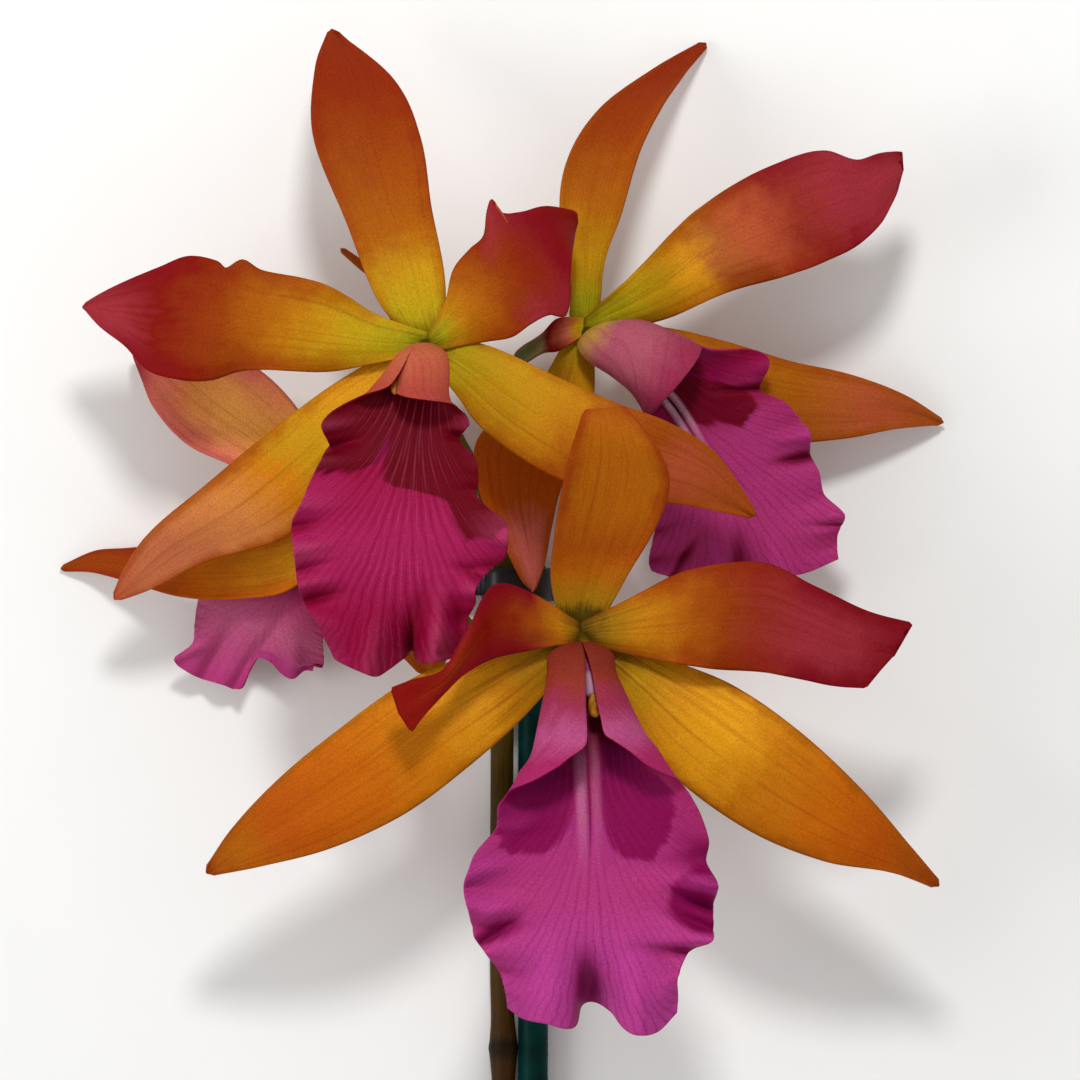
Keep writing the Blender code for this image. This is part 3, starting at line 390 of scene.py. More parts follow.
bloomC = {
    "middle": (580, 632, 42),
    "stalk": [(503, 700, 4), (520, 690, 13), (548, 668, 26), (572, 642, 35), (580, 632, 39)],
    # The dark olive at the base of each tepal is painted shade, in the deep hollow at the bloom's middle
    "tepals": {
        "dorsal_sepal": {"cup": 1.6, "rim": 0.6,
            "centre": "8 olive, 14 bronze, 26 orange, 36 tawny, 55 orange, 85 orange, 100 tawny",
            "edge": "0 olive, 10 bronze, 30 tawny, 60 rust",
            "stations": [(563, 621, 597, 621, 42, 0), (551, 580, 626, 578, 45.5, 0),
             (556, 525, 656, 526, 50, 0), (566, 470, 669, 482, 54.5, 0), (577, 430, 655, 446, 57, 0),
             (586, 411, 624, 408, 55.5, 0), (594, 416, 614, 412, 51, 0)]},
        "left_petal": {"cup": -1, "wave": 0.5, "waves": 2, "rim": 0,
            "centre": "0 olive, 10 amber, 20 tawny, 32 brick, 45 crimson, 65 brick, 90 crimson",
            "edge": "0 olive, 10 orange, 25 wine, 50 wine, 100 crimson",
            "stations": [(568, 641, 568, 622, 43.3, 0), (530, 650, 529, 592, 46.5, 0),
             (496, 657, 494, 585, 50, 1), (470, 670, 468, 628, 53.5, 1), (445, 692, 444, 668, 55.5, 1),
             (424, 716, 412, 679, 56, 0), (411, 734, 388, 688, 55, 0)]},
        "right_petal": {"cup": -1.6, "wave": 1.2, "waves": 3, "rim": 0.35,
            "centre": "2 olive, 8 bronze, 20 amber, 32 orange, 44 rust, 56 garnet, 70 rose, 85 rose, "
                      "100 wine",
            "edge": "0 olive, 15 orange, 30 rust, 50 brick, 70 wine",
            "stations": [(592, 622, 592, 641, 43.3, 0), (640, 593, 640, 656, 46, 0),
             (692, 569, 700, 667, 48, 0), (762, 563, 757, 671, 48, 0), (815, 586, 805, 680, 46, 0),
             (868, 611, 835, 686, 43.5, 0), (917, 624, 868, 688, 41, 0)]},
        # The bright sun and dawn band a quarter to half way out on these two sepals is a painted pool of
        # light
        "left_sepal": {"cup": -1.8, "rim": 0.75,
            "centre": "5 olive, 10 bronze, 20 amber, 28 sun, 42 honey, 58 marigold, 80 ember, 93 orange, "
                      "100 rust",
            "edge": "0 olive, 20 amber, 60 orange, 100 tawny",
            "stations": [(578, 650, 562, 634, 41.7, 0), (524, 716, 482, 650, 42, 0),
             (457, 775, 404, 683, 43, 0), (400, 816, 337, 731, 42, 0), (330, 848, 280, 778, 39, 0),
             (262, 866, 232, 828, 35, 0), (209, 876, 204, 870, 31, 0)]},
        "right_sepal": {"cup": -1.8, "rim": 0.75,
            "centre": "5 olive, 10 bronze, 18 gold, 26 sun, 34 dawn, 42 dawn, 52 honey, 70 marigold, "
                      "82 ember, 92 tawny, 100 rust",
            "edge": "0 olive, 20 amber, 60 orange, 100 tawny",
            "stations": [(598, 634, 582, 650, 41.7, 0), (658, 655, 625, 704, 42, 0),
             (730, 684, 664, 766, 43, 0), (800, 732, 742, 826, 42.5, 0), (862, 790, 822, 860, 40, 0),
             (912, 848, 893, 873, 37, 0), (941, 883, 936, 889, 34, 0)]},
    },
    "lip": {"face": 1, "mouth": 0.33, "seed": 5.7, "sharedTube": False, "levelSections": False,
        # The first two are painted shadow under the tube's rims, the last two painted shade in creases near
        # the front
        "darkAndShadowPatches": [
            (1, [(766, 534, 580), (776, 510, 580), (785, 500, 579), (800, 496, 576), (815, 496, 572),
                (830, 498, 566), (845, 502, 556), (854, 512, 544)]),
            (1, [(742, 600, 612), (765, 599, 644), (785, 599, 668), (800, 600, 675), (815, 602, 674),
                (830, 605, 669), (845, 611, 663), (858, 622, 652)]),
            (0.8, [(864, 690, 724), (875, 678, 724), (890, 670, 724), (905, 667, 722), (920, 676, 720),
                (934, 694, 716)]),
            (0.6, [(912, 502, 538), (920, 490, 536), (928, 480, 530), (938, 466, 515), (946, 466, 500)])],
        "keels": [(-7, 5.5, 0.8), (0.5, 1.6, -1), (7.5, 4.5, 0.4)],
        "stations": [(580, 641, 44.6, 6), (581, 672, 46, 8), (583, 708, 48, 9.5), (585, 738, 49.8, 11.2),
            (587, 762, 51, 12), (588, 785, 52.2, 12.3), (590, 832, 54.2, 12.3), (590, 885, 55, 12),
            (589, 938, 54, 12), (588, 985, 51, 12), (588, 1026, 47.5, 12)],
        "left": [(641, 22, 184, 0), (650, 31, 187, 0), (677, 34, 187, 0), (709, 42, 184, 0),
            (738, 50, 182, 0), (746, 53, 178, 0), (755, 58, 163, 0), (766, 66, 150, 0), (779, 73, 127, 0),
            (787, 79, 95, 0), (793, 84, 74, 0.5), (800, 90, 62, 1), (822, 93, 44, 0), (833, 100, 37, -1),
            (850, 114, 30, 0.5), (865, 120, 25, 1.5), (887, 126, 20, 0), (908, 122, 17, 2.5),
            (925, 117, 15, -2.5), (938, 114, 13, 0), (952, 105, 12, 1.5), (974, 91, 10, -1),
            (1003, 83, 8, 1), (1026, 80, 7, 0)],
        "right": [(641, 26, 172, 0), (650, 31, 170, 0), (660, 33, 166, 0), (672, 34, 162, 0),
            (697, 43, 162, 0), (720, 52, 161, 0), (735, 58, 160, 0), (742, 62, 153, 0), (754, 70, 142, 0),
            (766, 78, 132, 0), (776, 85, 115, 0), (785, 91, 88, 0), (792, 96, 70, 0.5), (800, 101, 60, 1),
            (822, 112, 44, 0.5), (843, 118, 33, -0.5), (860, 115, 27, -2), (882, 127, 22, 2.5),
            (900, 123, 18, -1.5), (925, 123, 15, 1.5), (937, 122, 14, 2), (944, 104, 13, -2.5),
            (957, 95, 11, 0), (984, 89, 9, 1.5), (1011, 89, 8, 0), (1026, 88, 7, 0)],
        "fringe": [(-1, -20, 0), (-0.8, -9, 0), (-0.5, -4, 1), (-0.26, 1, 1.5), (-0.14, -4, 0),
            (-0.1, -20, -2), (0.07, -25, -3.5), (0.27, -15, -1), (0.4, 0, 1), (0.55, 7, 2), (0.78, 4, 1),
            (1, -15, 0.5)],
        "folds": [(470, 950, 540, 903, 6, -1.8), (466, 928, 535, 888, 8, 1), (716, 930, 655, 905, 7, -1.8),
            (716, 884, 665, 868, 5, 1), (704, 902, 650, 882, 6, -1.3), (586, 1006, 587, 925, 12, -1.8),
            (548, 1016, 562, 900, 14, 0.9), (640, 1026, 620, 900, 16, 1.1), (500, 835, 560, 800, 12, 0.6),
            (468, 874, 525, 856, 8, 0.9), (690, 1000, 640, 930, 9, -0.7), (705, 850, 650, 815, 12, -0.6)],
        "column": [(580, 632, 41), (585, 645, 46), (588, 662, 49.2), (590, 680, 51.2), (592, 697, 52.4)],
        "anther": [(594, 692, 53.2), (595, 717, 54.2)], "antherWidth": 1.05},
}

bloomD = {
    "middle": (350, 505, 20.5),
    "stalk": [(503, 668, 4), (462, 622, 15), (412, 566, 23), (370, 524, 25.5), (350, 505, 23.5)],
    "tepals": {
        "dorsal_sepal": {"cup": -1.2,
            "stations": [(333, 492, 367, 492, 20.5, 0), (340, 440, 402, 440, 22, 0),
             (352, 385, 418, 385, 22, 0), (388, 330, 424, 330, 20.5, 0), (384, 290, 408, 285, 18.5, 0),
             (360, 268, 367, 262, 16.5, 0), (339, 249, 342, 246, 14.5, 0)]},
        # This petal's colours, and those of the left sepal below, are lighter than its own: painted light
        # where bloom A shades them
        "left_petal": {"cup": 1.4, "wave": 0.8, "waves": 2, "rim": 0.1,
            "centre": "0 lime, 25 sun, 45 apricot, 60 apricot, 72 peach, 85 flush, 100 rose",
            "edge": "0 amber, 30 flush, 80 flush, 93 rose",
            "rightEdge": "0 amber, 30 apricot, 60 flush, 90 flush, 100 rose",
            "stations": [(334, 514, 337, 496, 19.2, 0), (290, 500, 318, 448, 19.5, 0),
             (233, 467, 296, 408, 19, 0), (185, 443, 258, 369, 16.5, 0), (152, 408, 212, 345, 13, 0),
             (138, 375, 165, 335, 9, 0), (129, 352, 134, 345, 5, 0)]},
        "right_petal": {"cup": 1,
            "stations": [(364, 494, 367, 512, 19.2, 0), (384, 456, 420, 490, 17, 0),
             (410, 420, 452, 450, 12, 0), (424, 390, 452, 412, 6.5, 0), (434, 374, 444, 382, 3, 0)]},
        "left_sepal": {"cup": 1.4, "rim": 0.3,
            "centre": "0 moss, 10 sun, 25 sun, 42 honey, 55 marigold, 70 rust",
            "edge": "0 sun, 30 marigold, 60 ember, 75 brick",
            "stations": [(348, 522, 332, 507, 20.7, 0), (294, 586, 285, 530, 19, 0),
             (239, 599, 225, 540, 17, 0), (180, 597, 172, 544, 13, 0), (125, 582, 125, 548, 8, 0),
             (90, 573, 92, 551, 3.6, 0), (58, 571, 57, 567, 0.9, 0)]},
        "right_sepal": {"cup": -1.2,
            "stations": [(368, 507, 352, 523, 20.7, 0), (402, 556, 352, 580, 17, 0),
             (436, 612, 378, 636, 14, 0), (448, 650, 404, 660, 11, 0), (440, 674, 420, 676, 9, 0)]},
    },
    "lip": {"face": -1, "mouth": 0.4, "seed": 1.9, "sharedTube": False, "levelSections": False,
        "darkAndShadowPatches": [],
        "keels": [],
        "stations": [(333, 527, 17.6, 5), (320, 540, 16.4, 7), (307, 554, 15, 8), (292, 572, 13.6, 8),
            (274, 602, 12, 7.5), (262, 626, 10.6, 7), (252, 656, 8.6, 6.5), (247, 681, 6.8, 6)],
        "left": [(527, 22, 170, 0), (540, 29, 170, 0), (554, 35, 150, 0), (572, 44, 90, 0),
            (602, 56, 50, 0), (630, 66, 34, 0.5), (645, 70, 28, 0), (656, 68, 22, -1), (668, 64, 18, 0),
            (681, 61, 15, 0.5)],
        "right": [(527, 22, 170, 0), (540, 29, 170, 0), (554, 35, 150, 0), (572, 46, 90, 0),
            (602, 68, 46, 0), (618, 72, 38, 0.5), (630, 70, 34, 0.5), (643, 66.5, 30, -0.5),
            (655, 63, 26, -1), (661, 63, 24, -0.5), (668, 69, 22, 1), (676, 77, 20, 0.5), (681, 78, 18, 0)],
        "fringe": [(-1, -22, 0), (-0.85, -20, 0.5), (-0.7, -10, 1), (-0.5, -13, 0), (-0.28, -22, -1),
            (-0.07, -23, -1.5), (0, -12, -0.8), (0.07, 9, 0), (0.33, 9.5, 0.5), (0.66, 7, 0.5),
            (0.92, 0, 0), (1, -5, 0)],
        "folds": [(255, 655, 288, 600, 8, -1.6), (292, 680, 292, 620, 10, 1), (205, 672, 245, 600, 9, -1.2),
            (240, 690, 285, 590, 7, 1.4), (180, 656, 215, 640, 5, 0.8)],
        "column": [(344, 512, 17.2), (332, 526, 12.8), (322, 538, 11.5), (313, 548, 10.6)],
        "anther": [(313, 548, 10.6), (306, 556, 9.8)], "antherWidth": 1.1},
}

blooms = {"a": bloomA, "b": bloomB, "c": bloomC, "d": bloomD}


joinDistance = 0.002 * mm  # points of a grid that are closer than this become one


def finishPiece(piece, slot, *nodes):
    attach(piece, "root")
    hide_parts(*nodes)


def addPiece(name, shape, materials):
    mesh = bpy.data.meshes.new(name)
    shape.to_mesh(mesh)
    shape.free()
    mesh.shade_smooth()
    for material in materials:
        mesh.materials.append(material)
    piece = bpy.data.objects.new(name, mesh)
    bpy.context.scene.collection.objects.link(piece)
    return piece


def addClosedPiece(name, shape, material):
    bmesh.ops.recalc_face_normals(shape, faces=shape.faces)
    return addPiece(name, shape, [material])


def addSheet(name, blade, steps, wall, materials, values):
    # A sheet laid on blade(along 0 to 1, across -1 to 1), which gives a point and what its material reads
    shape = bmesh.new()
    bmesh.ops.create_grid(shape, x_segments=steps[0], y_segments=steps[1], size=0.5)
    layers = [shape.verts.layers.float.new(value) for value in values]
    for vertex in shape.verts:
        vertex.co, found = blade(round(vertex.co.x + 0.5, 6), round(vertex.co.y * 2.0, 6))
        for layer, number in zip(layers, found):
            vertex[layer] = number
    bmesh.ops.remove_doubles(shape, verts=shape.verts, dist=joinDistance)
    piece = addPiece(name, shape, materials)
    thicken = piece.modifiers.new("wall", "SOLIDIFY")
    thicken.thickness = wall
    thicken.offset = 0.0
    thicken.material_offset = len(materials) - 1
    return piece


def addRoll(shape, skin, steps):
    # A closed shell in the shape: a grid laid on skin(along 0 to 1, turn 0 to 2 pi), joined where it meets
    alongLayer = shape.verts.layers.float.get("along") or shape.verts.layers.float.new("along")
    rolled = bmesh.ops.create_grid(shape, x_segments=steps[0], y_segments=steps[1], size=0.5)["verts"]
    for vertex in rolled:
        along = vertex.co.x + 0.5
        vertex[alongLayer] = along
        vertex.co = skin(along, (vertex.co.y + 0.5) * 2 * math.pi)
    bmesh.ops.remove_doubles(shape, verts=rolled, dist=joinDistance)


def ringPoint(rows, along, turn, radius):  # a point at a turn round a route in pixels and mm
    way = wayAt(rows, along)
    side = way.cross(Vector((1, 0, 0))).normalized()
    other = way.cross(side).normalized()
    out = side * math.cos(turn) + other * math.sin(turn)
    return photoPoint(*readCurve(rows, along)) + out * radius


tepalShape = {"steps": (96, 34), "wall": 0.5 * mm, "bellyEnd": 0.87, "waveShift": 2.0, "midrib": 0.14,
              "midribWidth": 0.08, "midribStart": 0.1, "midribFade": 0.25, "undulation": 0.5,
              "undulationRate": (4.0, 1.3), "undulationStart": 0.2, "baseReach": 0.95, "tipRound": 5.0,
              "seedStep": 7.3}


def tepalBlade(tepal, middle, seed):
    # Its base runs in under the lip to the middle of the bloom
    leftX, leftY, rightX, rightY, height, lean = tepal["stations"][0]
    inX = tepalShape["baseReach"] * (middle[0] - (leftX + rightX) / 2)
    inY = tepalShape["baseReach"] * (middle[1] - (leftY + rightY) / 2)
    stations = [(leftX + inX, leftY + inY, rightX + inX, rightY + inY, height, lean)] + tepal["stations"][1:]
    rows, length = measured(stations, [((row[0] + row[2]) / 2, (row[1] + row[3]) / 2) for row in stations])
    tipStart = 1 - min(tepalShape["tipRound"], 0.5 * math.dist(stations[-1][:2], stations[-1][2:4])) / length
    driftAlong, driftAcross = tepalShape["undulationRate"]

    def blade(along, turned):
        across = -turned  # so that the front faces up
        leftX, leftY, rightX, rightY, height, lean = readCurve(rows, along)
        left = photoPoint(leftX, leftY, height - lean / 2)
        right = photoPoint(rightX, rightY, height + lean / 2)
        tip = max(0.0, (along - tipStart) / (1 - tipStart))
        point = left.lerp(right, (across * math.sqrt(1 - tip ** 2) + 1) / 2)
        belly = math.sin(math.pi * min(along / tepalShape["bellyEnd"], 1.0))
        dip = tepal["cup"] * belly * (1 - across ** 2)
        side = 0.0 if across < 0 else tepalShape["waveShift"]
        ripple = tepal["wave"] * belly * across ** 4 * math.sin(2 * math.pi * tepal["waves"] * along + side)
        groove = tepalShape["midrib"] * math.exp(-(across / tepalShape["midribWidth"]) ** 2)
        groove *= ease(along / tepalShape["midribStart"]) * ease((1 - along) / tepalShape["midribFade"])
        drift = noise.noise(Vector((along * driftAlong, across * driftAcross, seed)))
        drift *= tepalShape["undulation"] * ease(along / tepalShape["undulationStart"])
        point.z += (ripple - dip - groove + drift) * mm
        return point, (along, across)
    return blade


# mouthLength, keelStart, keelLead and keelFade are shares of the lip's length, and patchEdge is in pixels
lipShape = {"steps": (230, 110), "wall": 0.4 * mm, "domeEnd": 0.045, "leastWrap": 4.0, "fringeStart": 0.78,
            "rimPower": 3.0, "mouthLength": 0.15, "ruffle": 0.5, "ruffleRate": 34.0, "ruffleApart": 4.0,
            "keelHeight": 0.8, "keelStart": 0.12, "keelLead": 0.02, "keelFade": 0.3, "grooveShade": 1.6,
            "foldShare": 1.7, "veinGap": 8.0, "veinSpread": 18.0, "drawnGap": 9.0, "patchEdge": 22.0}
lipValues = ("along", "across", "darkAndShadow", "fan", "level", "rise", "keel")


def foldHeight(folds, x, y):
    total = 0.0
    for startX, startY, endX, endY, width, height in folds:
        runX, runY = endX - startX, endY - startY
        length = math.hypot(runX, runY)
        inward = ((x - startX) * runX + (y - startY) * runY) / length ** 2
        off = ((x - startX) * runY - (y - startY) * runX) / length
        if inward < 1 and abs(off) < 3 * width:
            total += height * math.exp(-(off / width) ** 2) * (1 - ease(inward))
    return total


def darkAndShadowShare(darkAndShadowPatches, x, y):  # 1 inside the lip's dark patches of own colour and painted shadow, half on their border, 0 outside
    share = 0.0
    for strength, rows in darkAndShadowPatches:
        top, foot = rows[0][0], rows[-1][0]
        left, right = readCurve(rows, min(max(y, top), foot))
        inside = min(x - left, right - x, y - top, foot - y)
        share = max(share, strength * ease(0.5 + inside / lipShape["patchEdge"]))
    return share


def wallPlace(half, other, wrap, turn, shared):  # how far out a lip's side is, at a turn round its tube
    if turn <= math.pi / 2:
        return half * math.sin(turn) / math.sin(min(wrap, math.pi / 2))
    if shared:
        return (half - other) / 2 + (half + other) / 2 * math.sin(turn)
    return half * math.sin(turn)


def lipBlade(lip):
    rows = measured(lip["stations"], [row[:2] for row in lip["stations"]])[0]
    face = Vector((0, 0, lip["face"]))

    @lru_cache(maxsize=None)
    def section(along):
        here = readCurve(rows, along)
        side = Vector((1, 0, 0)) if lip["levelSections"] else face.cross(wayAt(rows, along)).normalized()
        return here, side, side.cross(face), readCurve(lip["left"], here[1]), readCurve(lip["right"], here[1])

    def blade(along, across):
        here, side, forward, left, right = section(along)
        (half, wrap, lift), other = (left, right[0]) if across < 0 else (right, left[0])
        wrap = math.radians(max(wrap, lipShape["leastWrap"]))
        turn = wrap * abs(across)
        dome = math.sqrt(max(0.0, 1 - (1 - min(along / lipShape["domeEnd"], 1.0)) ** 2))
        out = wallPlace(half, other, wrap, turn, lip["sharedTube"]) * (-1 if across < 0 else 1)
        lifted = lift * abs(across) ** lipShape["rimPower"]
        up = here[3] / 2 * (1 - math.cos(turn)) * dome + lifted
        past = along - lip["mouth"]
        opened = ease(past / lipShape["mouthLength"])
        rim = Vector((along * lipShape["ruffleRate"],
                      math.copysign(lipShape["ruffleApart"], across) + lip["seed"], 0.0))
        ruffle = lipShape["ruffle"] * opened * abs(across) ** 5 * noise.noise(rim)
        keels = 0.0
        if turn < math.pi / 2:
            keels = sum(strength * math.exp(-((out - place) / width) ** 4)
                        for place, width, strength in lip["keels"])
        keels *= ease((past + lipShape["keelStart"]) / lipShape["keelStart"])
        keels *= 1 - ease((past - lipShape["keelLead"]) / lipShape["keelFade"])
        reach = ease((along - lipShape["fringeStart"]) / (1 - lipShape["fringeStart"]))
        ahead, tipLift = readCurve(lip["fringe"], across)
        point = photoPoint(*here[:3]) + (side * out * dome + forward * ahead * reach) * photo["pixel"]
        point += face * (up + ruffle + tipLift * reach + lipShape["keelHeight"] * keels) * mm
        spot = (point - photoShift) / photo["pixel"]
        pixel = (spot.x + photo["middle"], photo["middle"] - spot.y)
        fold = foldHeight(lip["folds"], *pixel) * opened * lipShape["foldShare"]
        point.z += fold * mm

        # Veins run side by side up the tube and spread from its mouth. fan counts them from the middle.
        spread = max(0.0, past / (1 - lip["mouth"]))
        gap = lipShape["veinGap"] * (1 + lipShape["veinSpread"] * spread ** 2)
        fan = across * half * wrap / math.sin(min(wrap, math.pi / 2)) / gap
        level = math.log2(gap / lipShape["drawnGap"])
        # rise, the height of folds, lifted margins and grooves, sets where highlight and shade are painted
        rise = fold + lifted + lipShape["grooveShade"] * min(keels, 0.0)
        return point, (along, across, darkAndShadowShare(lip["darkAndShadowPatches"], *pixel), fan, level, rise, max(keels, 0.0))
    return blade


# A lip's looks: ramps from its base to its front up the middle, at the margins and on the outside, and the
# colours of its veins, of the pale lines between them, its dark patches that are partly painted shadow, its
# keels, the painted highlight on raised places and the painted shade in sunken ones
lipLooks = {
    "a": {
        "centre": "0 dusk, 20 blood, 32 velvet, 40 ruby, 60 fuchsia, 70 fuchsia, 86 ruby",
        "edge": "0 blood, 30 cherry, 38 fuchsia, 70 fuchsia, 82 ruby, 100 fuchsia",
        "back": "0 salmon, 5 terracotta, 17 claret, 40 blush",
        "vein": "cherry", "veinShare": 0.48, "pale": "rosy", "paleShare": 0.34,
        "darkAndShadow": "sangria", "keel": "blush", "raisedHighlight": "rosy", "sunkenShade": "cherry"},
    "b": {
        "centre": "0 dusk, 33 blood, 38 plum, 46 magenta, 55 orchid",
        # The magenta at 33 is painted light on the far lobe, where the tube casts its shadow
        "edge": "0 blood, 26 plum, 33 magenta, 38 ruby, 43 ruby, 45 magenta, 70 orchid",
        "back": "3 straw, 9 dustyRose, 20 dustyRose, 31 wineRose, 100 magenta",
        "vein": "cherry", "veinShare": 0.32, "pale": "orchid", "paleShare": 0.15,
        "darkAndShadow": "blood", "keel": "pearl", "raisedHighlight": "lilac", "sunkenShade": "cherry"},
    "c": {
        "centre": "0 dusk, 28 blood, 36 magenta, 48 mallow, 66 orchid, 84 lilac",
        "edge": "0 blood, 32 plum, 40 magenta, 62 mallow, 78 orchid, 100 lilac",
        "back": "6 clay, 10 brickRose, 16 wineRose, 24 roseate, 31 magenta, 100 orchid",
        "vein": "velvet", "veinShare": 0.38, "pale": "lilac", "paleShare": 0.12,
        "darkAndShadow": "velvet", "keel": "petunia", "raisedHighlight": "lilac", "sunkenShade": "velvet"},
    "d": {
        "centre": "0 dusk, 50 plum, 100 magenta",
        "edge": "0 blood, 50 plum, 100 magenta",
        "back": "0 salmon, 20 claret, 40 magenta, 70 blush, 100 orchid",
        "vein": "cherry", "veinShare": 0.4, "pale": "blush", "paleShare": 0.2,
        "darkAndShadow": "cherry", "keel": "blush", "raisedHighlight": "lilac", "sunkenShade": "cherry"},
}


def lipMaterial(name, look, seed, isFront):
    # Velvety lip tissue, with dark veins that branch to the margin. Its outside is paler and plainer.
    material, add, setShader = newMaterial(name)
    along, across, darkAndShadow, fan, level, rise, keel = (
        add("Attribute", attribute_name=value).outputs["Fac"] for value in lipValues)
    clouds, cells = tissuePatterns(add, petalTissue["cloud"])
    streaks = add("TexNoise", {"Vector": add("CombineXYZ", {0: fan, 1: along, 2: seed}), "Scale": 1.7,
                               "Detail": 4.0, "Roughness": 0.65})
    place = shiftedPlace(add, along, (streaks, 0.08), (clouds, 0.08))

    # Each set of veins has twice as many as the one before, and takes over where those are far apart
    bent = add("Math", {0: clouds, 1: 0.1, 2: fan}, operation="MULTIPLY_ADD")
    veins = pales = 0.0
    for layer in range(5):
        off = add("Math", {0: add("Math", {0: bent, 1: 2.0 ** layer}, operation="MULTIPLY"), 1: 0.5},
                  operation="PINGPONG")
        far = add("Math", {0: level, 1: float(layer)}, operation="SUBTRACT")
        if layer:
            far = add("Math", {0: far}, operation="ABSOLUTE")
        share = add("MapRange", {"Value": far, "From Min": 1.0, "From Max": 0.0})
        line = add("MapRange", {"Value": off, "From Min": 0.22, "From Max": 0.03},
                   interpolation_type="SMOOTHSTEP")
        veins = add("Math", {0: line, 1: share, 2: veins}, operation="MULTIPLY_ADD")
        between = add("MapRange", {"Value": off, "From Min": 0.33, "From Max": 0.5},
                      interpolation_type="SMOOTHSTEP")
        pales = add("Math", {0: between, 1: share, 2: pales}, operation="MULTIPLY_ADD")
    broken = add("MapRange", {"Value": streaks, "From Min": 0.3, "From Max": 0.6,
                              "To Max": look["veinShare"] if isFront else 0.16})
    vein = add("Math", {0: veins, 1: broken}, operation="MULTIPLY")
    if isFront:
        outward = add("Math", {0: across}, operation="ABSOLUTE")
        nearEdge = add("MapRange", {"Value": outward, "From Min": 0.45, "From Max": 1.0},
                       interpolation_type="SMOOTHSTEP")
        # The dark patches, partly the lip's own colour and partly painted shadow, end raggedly, along the
        # streaks
        ragged = add("Math", {0: add("Math", {0: streaks, 1: 0.5}, operation="SUBTRACT"), 1: 1.5, 2: darkAndShadow},
                     operation="MULTIPLY_ADD")
        patch = add("MapRange", {"Value": ragged, "From Min": 0.25, "From Max": 0.75},
                    interpolation_type="SMOOTHSTEP")
        inner = add("MapRange", {"Value": outward, "From Min": 0.9, "From Max": 0.1,
                                 "To Max": look["paleShare"]})
        pale = add("Math", {0: pales, 1: inner}, operation="MULTIPLY")
        # Raised places and lifted margins get a painted highlight; valleys and grooves get a painted shade
        raisedHighlight = add("MapRange", {"Value": rise, "From Min": 0.2, "From Max": 1.8, "To Max": 0.4})
        sunkenShade = add("MapRange", {"Value": rise, "From Min": -0.1, "From Max": -1.5, "To Max": 0.75})
        centre, edge = (add("ValToRGB", {0: place}, look[part]) for part in ("centre", "edge"))
        colour = layOver(add, centre, (nearEdge, edge), (patch, look["darkAndShadow"]), (pale, look["pale"]),
                         (raisedHighlight, look["raisedHighlight"]), (sunkenShade, look["sunkenShade"]), (vein, look["vein"]),
                         (keel, look["keel"]))
    else:
        colour = layOver(add, add("ValToRGB", {0: place}, look["back"]), (vein, look["vein"]))
    height = add("Math", {0: veins, 1: 0.5, 2: cells}, operation="MULTIPLY_ADD")
    finishTissue(add, setShader, tissueGrain(add, colour, cells, 0.82, 1.16), height)
    return material


# The column: a fleshy stalk inside the lip that swells to a green mound at its foot. Radii are in mm.
columnShape = {"steps": (60, 30), "ridges": 0.07,
               "radius": [(0.0, 0.0), (0.03, 0.8), (0.1, 1.2), (0.2, 1.25), (0.34, 1.05), (0.5, 0.95),
                          (0.75, 0.95), (0.9, 1.05), (0.97, 0.8), (1.0, 0.0)]}
antherShape = {"steps": (24, 24), "split": 0.22, "splitWidth": 0.35, "breadth": 1.15}


def addColumn(letter, lip, columnMaterial, antherMaterial):
    rows = measured(lip["column"], lip["column"])[0]

    def columnSkin(along, turn):
        ridge = 1 + columnShape["ridges"] * math.cos(3 * turn)
        return ringPoint(rows, along, turn, readCurve(columnShape["radius"], along)[0] * mm * ridge)
    shape = bmesh.new()
    addRoll(shape, columnSkin, columnShape["steps"])
    piece = addClosedPiece("bloom_" + letter + "_column_body", shape, columnMaterial)
    finishPiece(piece, "column", "bloom_" + letter + "_column")

    start, end = (photoPoint(*spot) for spot in lip["anther"])
    way = end - start
    across = way.cross(Vector((0, 0, 1))).normalized()
    up = across.cross(way).normalized()

    def antherSkin(along, turn):
        # Two lobes side by side, with a split between them
        radius = lip["antherWidth"] * mm * math.sqrt(max(0.0, 1 - (2 * along - 1) ** 2))
        split = 1 - antherShape["split"] * math.exp(-(math.cos(turn) / antherShape["splitWidth"]) ** 2)
        outward = across * antherShape["breadth"] * math.cos(turn) + up * math.sin(turn) * split
        return start + way * along + outward * radius
    shape = bmesh.new()
    addRoll(shape, antherSkin, antherShape["steps"])
    piece = addClosedPiece("bloom_" + letter + "_anther_cap_lobes", shape, antherMaterial)
    finishPiece(piece, "anther_cap", "bloom_" + letter + "_anther_cap")


def columnMaterial():
    # Fleshy waxy tissue: smooth and a little moist, so it gives the eye a soft shine
    material, add, setShader = newMaterial("orchid column, fleshy tissue")
    clouds, cells = tissuePatterns(add, 1.2 * mm)
    along = add("Attribute", attribute_name="along").outputs["Fac"]
    place = add("Math", {0: clouds, 1: 0.2, 2: along}, operation="MULTIPLY_ADD")
    # The olive at the foot is partly the tissue's green and partly painted shade in the hollow at the bloom's
    # middle
    colour = add("ValToRGB", {0: place}, "30 olive, 42 bronze, 52 claret, 72 roseate, 82 pearl")
    finishTissue(add, setShader, tissueGrain(add, colour, cells, 0.85, 1.14), cells)
    setShader({"Roughness": 0.42})
    return material


def antherMaterial():
    # Dry waxy cap: ochre, with faint darker specks
    material, add, setShader = newMaterial("orchid anther cap, waxy tissue")
    clouds, cells = tissuePatterns(add, 0.8 * mm)
    colour = add("ValToRGB", {0: clouds}, "30 9F4F04, 55 B8741C, 75 C99040")
    finishTissue(add, setShader, tissueGrain(add, colour, cells, 0.85, 1.14), cells)
    return material


